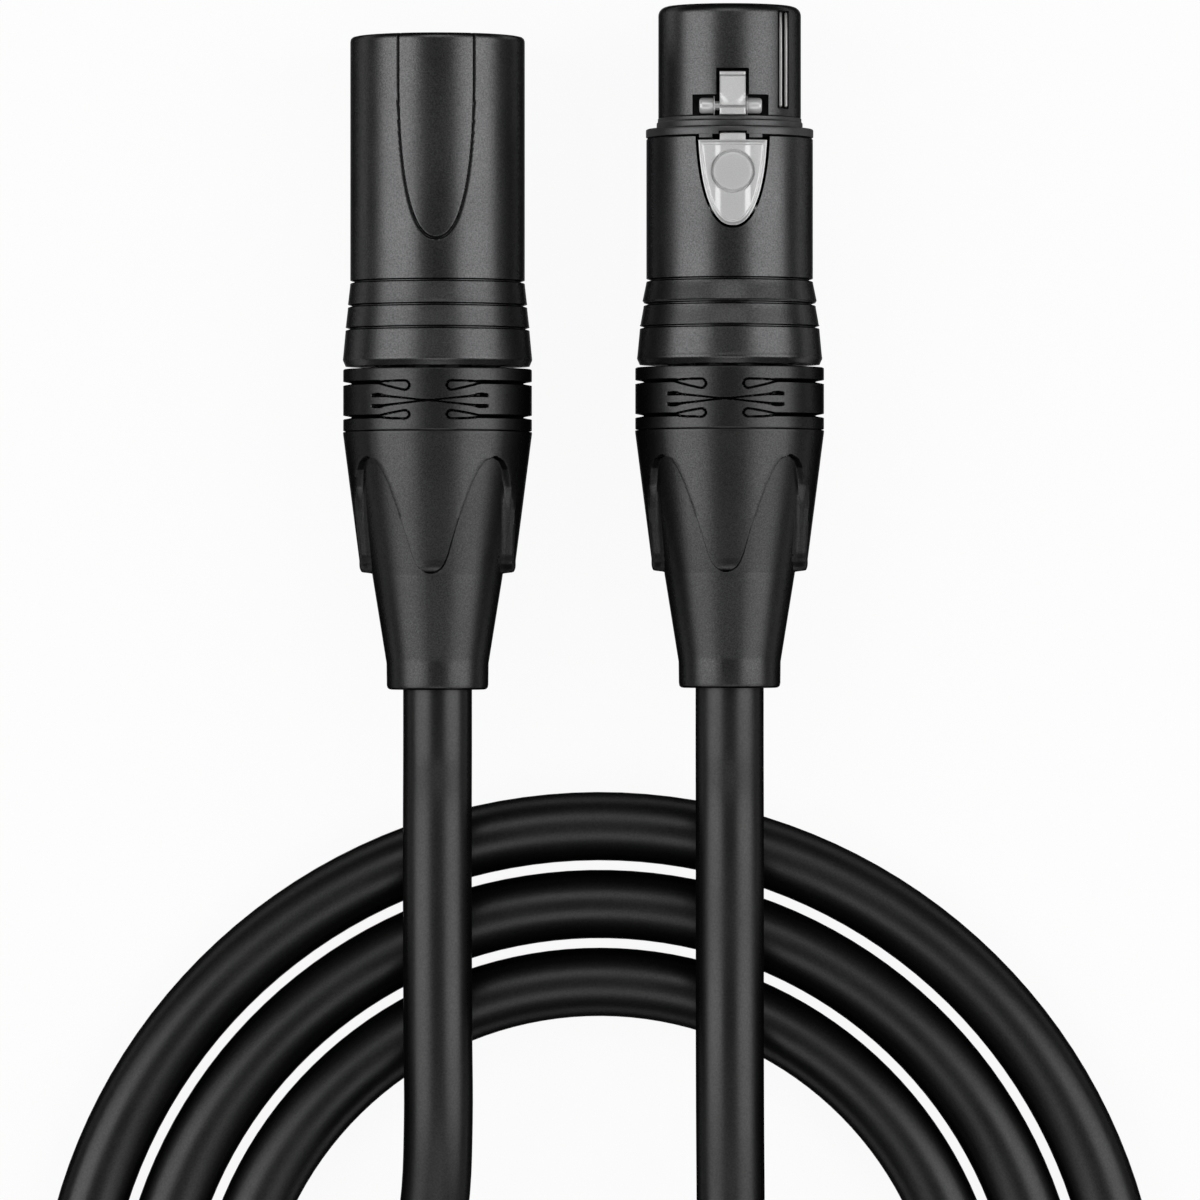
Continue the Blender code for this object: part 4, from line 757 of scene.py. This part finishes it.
def lathe(name, place, centre, profile, material, along="Y", count=40, angle=40.0):
    """A turned solid of (radius, distance) round an axis along Y from the mouth, or X or Z."""
    turn = np.linspace(0.0, 2 * math.pi, count, endpoint=False)
    radius, run = (np.array(column)[:, None] for column in zip(*profile))
    radius = np.maximum(radius, HUB)
    run = np.repeat(run, count, axis=1)
    first, second = centre[0] + radius * np.sin(turn), centre[1] + radius * np.cos(turn)
    across, station, height = {"X": (run, first, second), "Y": (first, run, second),
                               "Z": (first, second, run)}[along]
    points = np.stack([place[0] + across, along_axis(place, station), AXIS_Z + height],
                      axis=-1) * MM
    return close_ends(grid_object(name, points, material), count, angle)


def make_nose():
    outer = [(7.0, 75.27)]
    for angle in np.linspace(0.0, 90.0, 9):
        turn = math.radians(angle)
        outer.append((6.86 + math.sin(turn), 74.27 + math.cos(turn)))
    outer += [(7.86, station) for station in np.linspace(74.0, 63.2, 30)]
    outer += [(7.86, 62.98), (7.82, 62.9), (7.55, 62.55)]
    inner = [(6.9, 62.55), (6.9, 75.0), (6.94, 75.2)]
    nose = sleeve("female_nose_skin", FEMALE, outer, inner, EVEN, SHELL)
    stem = prism("t_stem", LATCH_PLACE, rectangle(-1.8, 1.8, 62.0, 68.1), 3.6, 10.0, SHELL)
    arms = prism("t_arms", FEMALE, rectangle(-4.17, 4.17, 62.0, 65.2), 3.6, 10.0, SHELL)
    strip = prism("strip_slot", FEMALE, rectangle(5.18, 6.42, 63.7, 74.55), 3.0, 7.0, SHELL)
    cut(nose, stem, arms, strip)
    settle(nose, "cable", "shell", "female_nose")


make_nose()


def make_flange():
    outer = [(7.5, 62.86), (7.87, 62.86), (7.92, 62.81), (7.92, 62.50), (7.94, 62.44),
             (7.98, 62.40), (8.04, 62.33), (8.05, 62.2), (8.05, 61.95), (8.05, 61.78),
             (8.10, 61.70), (8.3, 61.68), (9.1, 61.66), (9.19, 61.61), (9.23, 61.5), (9.23, 61.3),
             (9.23, 61.0), (9.23, 60.83), (9.21, 60.76), (9.1, 60.72)]
    inner = [(7.2, 60.72), (7.2, 62.86)]
    flange = sleeve("female_flange_skin", FEMALE, outer, inner, EVEN, FLANGE)
    notch = prism("stem_notch", LATCH_PLACE, rectangle(-1.55, 1.55, 60.0, 61.10), 4.0, 10.0, FLANGE)
    cut(flange, notch)
    settle(flange, "cable", "flange", "female_flange")
    for side, sign in (("left", -1), ("right", 1)):
        across, along = np.meshgrid(np.linspace(2.03, 3.45, 9) * sign,
                                    [60.33, 60.38, 60.6, 60.9, 61.3])
        top = np.sqrt(9.2 ** 2 - across ** 2) - 0.05 * (along < 60.36)
        settle(block(f"flange_tab_{side}", FEMALE, across, along, top, 7.1, FLANGE),
               "cable", "flange")


make_flange()


def make_ground_ribs():
    """Two bright ribs in the nose's slot, and the strip that they stand on."""
    across, along = np.meshgrid(np.linspace(5.23, 6.37, 5), np.linspace(63.8, 74.45, 22))
    strip = block("ground_strip", FEMALE, across, along, 4.1 - 0.55 * (across - 5.23), 2.4, INSERT)
    settle(strip, "cable", "contact", "ground_contact")
    for number, (middle, half, top) in enumerate(((5.50, 0.15, 5.60), (6.10, 0.14, 5.00)), 1):
        share, along = np.meshgrid(np.linspace(-1.0, 1.0, 9),
                                   np.array([63.93, 63.97, 64.05, 64.15, 66.0, 68.0, 70.0, 72.0,
                                             73.6, 74.0, 74.2, 74.32, 74.38]))
        ends = np.minimum(along - 63.90, 74.41 - along)
        narrow = np.sqrt(np.clip(1 - (1 - np.clip(ends / half, 0.0, 1.0)) ** 2, 0.02, 1.0))
        across = middle + share * half * narrow
        fall = 0.45 * eased((along - 73.2) / 1.3)
        heights = top - 0.05 * share ** 2 - fall - 0.12 * (1 - narrow)
        settle(block(f"ground_rib_{number}", FEMALE, across, along, heights, 3.0, CONTACT),
               "cable", "contact")


make_ground_ribs()

TAB_HEIGHT = 9.05
TAB_CROWN = 18.0                   # the radius of its crown, across
TAB_RIB = (0.20, 1.25, 0.75)       # height, half width, and width of its soft sides
TAB_LINE = (0.07, 0.44, 0.14)      # depth, distance from the rim, and half width
TAB_BEVEL = (0.20, 0.40)           # depth and width
DISC_RING = (0.30, 2.28, 0.15)     # depth, radius and half width of the groove round the disc


def tab_height(across, station):
    """The thumb tab's face: a low rib down its middle, a line along its rim and a bevel."""
    side = np.abs(across) / TAB_HALF_WIDTH
    far = (TAB_CENTRE - station) / TAB_TIP
    level = side ** TIP_POWER + far ** TIP_POWER
    steep = TIP_POWER * np.hypot(side ** (TIP_POWER - 1) / TAB_HALF_WIDTH,
                                 far ** (TIP_POWER - 1) / TAB_TIP)
    to_rim = np.minimum((1 - level) / np.maximum(steep, 1e-6), TAB_FRONT - station)
    to_rim = np.maximum(to_rim, 0.0)
    face = TAB_HEIGHT - TAB_CROWN + np.sqrt(TAB_CROWN ** 2 - across ** 2)
    height, half, soft = TAB_RIB
    rib = height * (1 - eased((np.abs(across) - half) / soft)) * eased(to_rim / 0.6)
    depth, inset, half = TAB_LINE
    line = depth * eased(1 - np.abs(to_rim - inset) / half)
    depth, radius, half = DISC_RING
    from_ring = np.abs(np.hypot(across, station - DISC_CENTRE) - radius)
    ring = depth * (1 - eased(from_ring / half))
    depth, width = TAB_BEVEL
    return face + rib - line - ring - depth * (1 - eased(to_rim / width))


HOOK = (62.95, 67.70)              # its rear and its tip
HOOK_RAMP = (63.95, 67.10)         # stations
LIP_HEIGHT = 7.93                  # at the tip, where the ramp starts
REAR_HEIGHT = 8.42
RAMP_RUN = 3.1                     # how far the ramp runs for each millimetre that it rises
FOOT_CENTRE = 65.3                 # the station of the centre of the ramp's rounded foot
FOOT_RADIUS = (0.86, 1.48)         # where its edge starts to fall, and where it has fallen
FOOT_FALL = 0.26
HOOK_GROOVES = ((67.25, 0.11, 0.35), (63.80, 0.15, 0.5))    # station, half width and depth


def hook_height(across, station):
    """The hook's top: a lip at its tip, the ramp with its rounded foot, and a lower lip."""
    rear, tip = HOOK
    ramp_rear, ramp_front = HOOK_RAMP
    below = np.maximum(FOOT_CENTRE - station, 0.0)
    beyond = (np.hypot(across, below) - FOOT_RADIUS[0]) / (FOOT_RADIUS[1] - FOOT_RADIUS[0])
    height = (LIP_HEIGHT + (ramp_front - station) / RAMP_RUN
              - FOOT_FALL * eased(beyond) * eased(below / 0.5))
    height = np.where(station > ramp_front, LIP_HEIGHT, height)
    height = np.where(station < ramp_rear, REAR_HEIGHT, height)
    for groove_at, half, depth in HOOK_GROOVES:
        height = height - depth * (1 - eased(np.abs(station - groove_at) / half))
    to_edge = np.minimum(HOOK_HALF - np.abs(across), np.minimum(station - rear, tip - station))
    return height - 0.09 * (1 - eased(to_edge / 0.13))


def make_latch():
    stations = np.concatenate([TAB_CENTRE - TAB_TIP * np.cos(np.linspace(0.05, 0.45, 18)),
                               np.linspace(52.2, 54.0, 10, endpoint=False),
                               np.linspace(54.0, 59.2, 75), [59.3, 59.4],
                               np.linspace(59.5, TAB_FRONT, 13)])
    share = np.concatenate([np.linspace(0.0, 0.84, 52, endpoint=False),
                            np.linspace(0.84, 1.0, 13)])
    share = np.concatenate([-share[:0:-1], share])
    far = (TAB_CENTRE - stations) / TAB_TIP
    half = TAB_HALF_WIDTH * (1 - far ** TIP_POWER) ** (1 / TIP_POWER)
    across = half[:, None] * share[None, :]
    along = np.repeat(stations[:, None], len(share), axis=1)
    tab = block("latch_tab", LATCH_PLACE, across, along, tab_height(across, along), 7.55, LATCH)
    settle(tab, "latch", "latch", "latch_lever")

    disc = [(0.0, 9.36), (1.7, 9.36), (1.9, 9.35), (2.05, 9.32), (2.13, 9.24), (2.17, 8.9),
            (2.17, 8.2), (0.0, 8.2)]
    settle(lathe("latch_tab_disc", LATCH_PLACE, (0.0, DISC_CENTRE), disc, LATCH, "Z", 64, 25.0),
           "latch", "latch")

    arm = [(59.4, 5.3), (63.1, 5.3), (63.1, 6.4), (60.90, 6.4), (60.90, 8.62), (60.84, 8.70),
           (59.4, 8.70)]
    arm_mesh = side_prism("latch_arm", LATCH_PLACE, arm, -HOOK_HALF, HOOK_HALF, LATCH)
    settle(bevelled(arm_mesh, 0.07), "latch", "latch")

    across, along = np.meshgrid(
        [-HOOK_HALF, -1.38, -1.33, *np.linspace(-1.25, 1.25, 25), 1.33, 1.38, HOOK_HALF],
        [HOOK[0], 62.99, 63.05, *np.linspace(63.12, 67.6, 76), 67.66, HOOK[1]])
    settle(block("latch_hook", LATCH_PLACE, across, along, hook_height(across, along), 5.3, LATCH),
           "latch", "latch")
    lug = [(51.4, 5.75), (53.5, 5.75), (53.9, 8.2), (51.4, 8.2)]
    lug_mesh = side_prism("latch_lug", LATCH_PLACE, lug, -1.0, 1.0, LATCH)
    settle(bevelled(lug_mesh, 0.15), "latch", "latch")

    pin = [(0.0, -3.42), (0.55, -3.42), (0.72, -3.38), (0.82, -3.27), (0.87, -3.12), (0.87, -2.0),
           (0.83, -1.93), (0.5, -1.92), (0.5, -1.86), (1.1, -1.86), (1.1, -1.74), (0.5, -1.74),
           (0.5, 1.74), (1.1, 1.74), (1.1, 1.86), (0.5, 1.86), (0.5, 1.92), (0.83, 1.93),
           (0.87, 2.0), (0.87, 3.12), (0.82, 3.27), (0.72, 3.38), (0.55, 3.42), (0.0, 3.42)]
    settle(lathe("latch_pin", FEMALE, CROSS_PIN, pin, PIN, "X"), "latch", "pin",
           "latch_cross_pin")


make_latch()

SPRING_RADIUS = 1.0
SPRING_WIRE = 0.2                  # the wire's radius
SPRING_SWEEP = 7 * math.pi
WIRE_SIDES = 12


def make_spring():
    """The coiled spring under the tab, at rest, rising through the height of its solid's box."""
    low, high = (np.array(corner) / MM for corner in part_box("latch_spring"))
    middle = (low + high) / 2
    turn = np.linspace(0.0, SPRING_SWEEP, 120)[:, None]
    round_wire = np.linspace(0.0, 2 * math.pi, WIRE_SIDES, endpoint=False)
    radius = SPRING_RADIUS + SPRING_WIRE * np.cos(round_wire)
    rise = low[2] + SPRING_WIRE + (high[2] - low[2] - 2 * SPRING_WIRE) * turn / SPRING_SWEEP
    points = np.stack([middle[0] + radius * np.cos(turn), middle[1] + radius * np.sin(turn),
                       rise + SPRING_WIRE * np.sin(round_wire)], axis=-1) * MM
    obj = close_ends(grid_object("latch_spring_coil", points, SPRING), WIRE_SIDES, 50.0)
    settle(obj, "cable", "spring", "latch_spring")
    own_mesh(obj)


make_spring()


# --- inserts and contacts --------------------------------------------------------------------


def make_insert(side, place, hole_radius, profile, extra=()):
    insert = lathe(f"{side}_insert_body", place, (0.0, 0.0), profile, INSERT, count=72)
    low, high = min(run for _, run in profile) - 1.0, max(run for _, run in profile) + 1.0
    drill = [(0.0, low), (hole_radius, low), (hole_radius, high), (0.0, high)]
    holes = [lathe(f"{side}_hole", place, centre, drill, INSERT, count=36)
             for centre in CONTACTS]
    cut(insert, *holes, *extra)
    settle(insert, "cable", "insert", f"{side}_insert")


def make_contacts():
    make_insert("male", MALE, 1.24,
                [(0.0, 50.34), (8.1, 50.34), (8.1, 56.2), (7.95, 56.45), (7.0, 56.5),
                 (6.9, 56.25), (6.3, 56.25), (6.2, 56.5), (0.0, 56.5)])
    make_insert("female", FEMALE, 1.56,
                [(0.0, 49.97), (6.55, 49.97), (6.55, 74.45), (6.5, 74.62), (6.3, 74.77),
                 (0.0, 74.77)],
                (prism("channel", FEMALE, rectangle(-1.81, 1.81, 48.9, 68.1), 3.6, 10.0, INSERT),
                 prism("pocket", FEMALE, rectangle(-4.17, 4.17, 62.7, 65.2), 4.4, 10.0, INSERT)))
    for number, centre in enumerate(CONTACTS, 1):
        tip = [(1.2 * math.sin(math.radians(angle)), 69.81 + 1.2 * math.cos(math.radians(angle)))
               for angle in np.linspace(0.0, 90.0, 9)]
        pin = [*tip, (1.2, 68.0), (1.2, 46.04), (0.8, 46.04), (0.8, 48.5), (0.0, 48.5)]
        settle(lathe(f"male_pin_{number}_skin", MALE, centre, pin, CONTACT, count=32),
               "cable", "contact", f"male_pin_{number}")
        socket = [(0.0, 60.07), (1.22, 60.07), (1.22, 73.8), (1.34, 74.0), (1.46, 74.05),
                  (1.5, 73.95), (1.5, 45.68), (0.8, 45.68), (0.8, 48.1), (0.0, 48.1)]
        settle(lathe(f"female_socket_{number}_skin", FEMALE, centre, socket, CONTACT, count=32),
               "cable", "contact", f"female_socket_{number}")


make_contacts()


# --- what stays as its solid -----------------------------------------------------------------

NODE_FINISHES = (("chuck", CHUCK), ("cable_tail", CORD), ("wire_1", SCREEN), ("wire_2", RED),
                 ("wire_3", WHITE), ("pivot_pin", PIN))

for name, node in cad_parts.items():
    for part, material in NODE_FINISHES:
        if part in name:
            for slot in node.material_slots:
                slot.material = material


# --- stage and light -------------------------------------------------------------------------


def make_floor():
    """White to camera, glossy and transmission rays, but for a faint shadow; lit like paper to
    the rest."""
    shader = Shader("floor_white")
    shader.colours(shader.noise(4.0), (0.90, 0.90, 0.90), (0.92, 0.92, 0.92))
    shader.principled.inputs["Roughness"].default_value = 0.9
    shader.principled.inputs["Specular IOR Level"].default_value = 0.0
    glow = shader.node("ShaderNodeEmission")
    glow.inputs["Strength"].default_value = 1.0
    path = shader.node("ShaderNodeLightPath")
    seen = shader.node("ShaderNodeMath", operation="MAXIMUM")
    shader.link(path.outputs["Is Camera Ray"], seen.inputs[0])
    shader.link(path.outputs["Is Glossy Ray"], seen.inputs[1])
    either = shader.node("ShaderNodeMath", operation="MAXIMUM")
    shader.link(seen.outputs[0], either.inputs[0])
    shader.link(path.outputs["Is Transmission Ray"], either.inputs[1])
    share = shader.node("ShaderNodeMath", operation="MULTIPLY")
    share.inputs[1].default_value = FLOOR_GLOW
    shader.link(either.outputs[0], share.inputs[0])
    mix = shader.node("ShaderNodeMixShader")
    shader.link(share.outputs[0], mix.inputs["Fac"])
    shader.link(shader.principled.outputs["BSDF"], mix.inputs[1])
    shader.link(glow.outputs["Emission"], mix.inputs[2])
    shader.link(mix.outputs["Shader"], shader.tree.nodes["Material Output"].inputs["Surface"])
    mesh = bpy.data.meshes.new("floor")
    (left, near), (right, far) = FLOOR
    corners = [(x * MM, y * MM, FLOOR_LEVEL * MM) for x, y in rectangle(left, right, near, far)]
    mesh.from_pydata(corners, [], [(0, 1, 2, 3)])
    new_object("floor", mesh, shader.material)


make_floor()


def make_world():
    """White to the camera, and for the rest a grey room, darker towards its walls' feet."""
    world = bpy.data.worlds.new("studio")
    bpy.context.scene.world = world
    world.use_nodes = True
    tree = world.node_tree
    direction = tree.nodes.new("ShaderNodeTexCoord")
    parts = tree.nodes.new("ShaderNodeSeparateXYZ")
    tree.links.new(direction.outputs["Generated"], parts.inputs["Vector"])
    ramp = tree.nodes.new("ShaderNodeValToRGB")
    ramp.color_ramp.interpolation = "EASE"
    stops = zip(ramp.color_ramp.elements, (0.05, 0.95), (ROOM_LOW, ROOM_HIGH))
    for stop, position, level in stops:
        stop.position = position
        stop.color = (level, level, level, 1.0)
    tree.links.new(parts.outputs["Z"], ramp.inputs["Fac"])
    room = tree.nodes["Background"]
    tree.links.new(ramp.outputs["Color"], room.inputs["Color"])
    white = tree.nodes.new("ShaderNodeBackground")
    white.inputs["Color"].default_value = (1.0, 1.0, 1.0, 1.0)
    path = tree.nodes.new("ShaderNodeLightPath")
    mix = tree.nodes.new("ShaderNodeMixShader")
    tree.links.new(path.outputs["Is Camera Ray"], mix.inputs["Fac"])
    tree.links.new(room.outputs["Background"], mix.inputs[1])
    tree.links.new(white.outputs["Background"], mix.inputs[2])
    tree.links.new(mix.outputs["Shader"], tree.nodes["World Output"].inputs["Surface"])


make_world()


def make_softbox(name, towards, angle, size, brightness):
    """A softbox over the cable: towards is its side in degrees from +X, angle its tilt from
    straight up, and size its width and length."""
    data = bpy.data.lights.new(name, "AREA")
    data.shape = "RECTANGLE"
    data.size, data.size_y = size
    data.energy = brightness * size[0] * size[1] * math.pi
    light = bpy.data.objects.new(name, data)
    side, tilt = math.radians(towards), math.radians(angle)
    away = Vector((math.cos(side) * math.sin(tilt), math.sin(side) * math.sin(tilt),
                   math.cos(tilt)))
    light.location = Vector(LIGHT_TARGET) * MM + away * LIGHT_DISTANCE
    light.rotation_euler = away.to_track_quat("Z", "Y").to_euler()
    light.visible_camera = False
    bpy.context.scene.collection.objects.link(light)


for name, towards, angle, size, brightness in SOFTBOXES:
    make_softbox(name, towards, angle, size, brightness)

bpy.context.scene.view_settings.view_transform = "Standard"
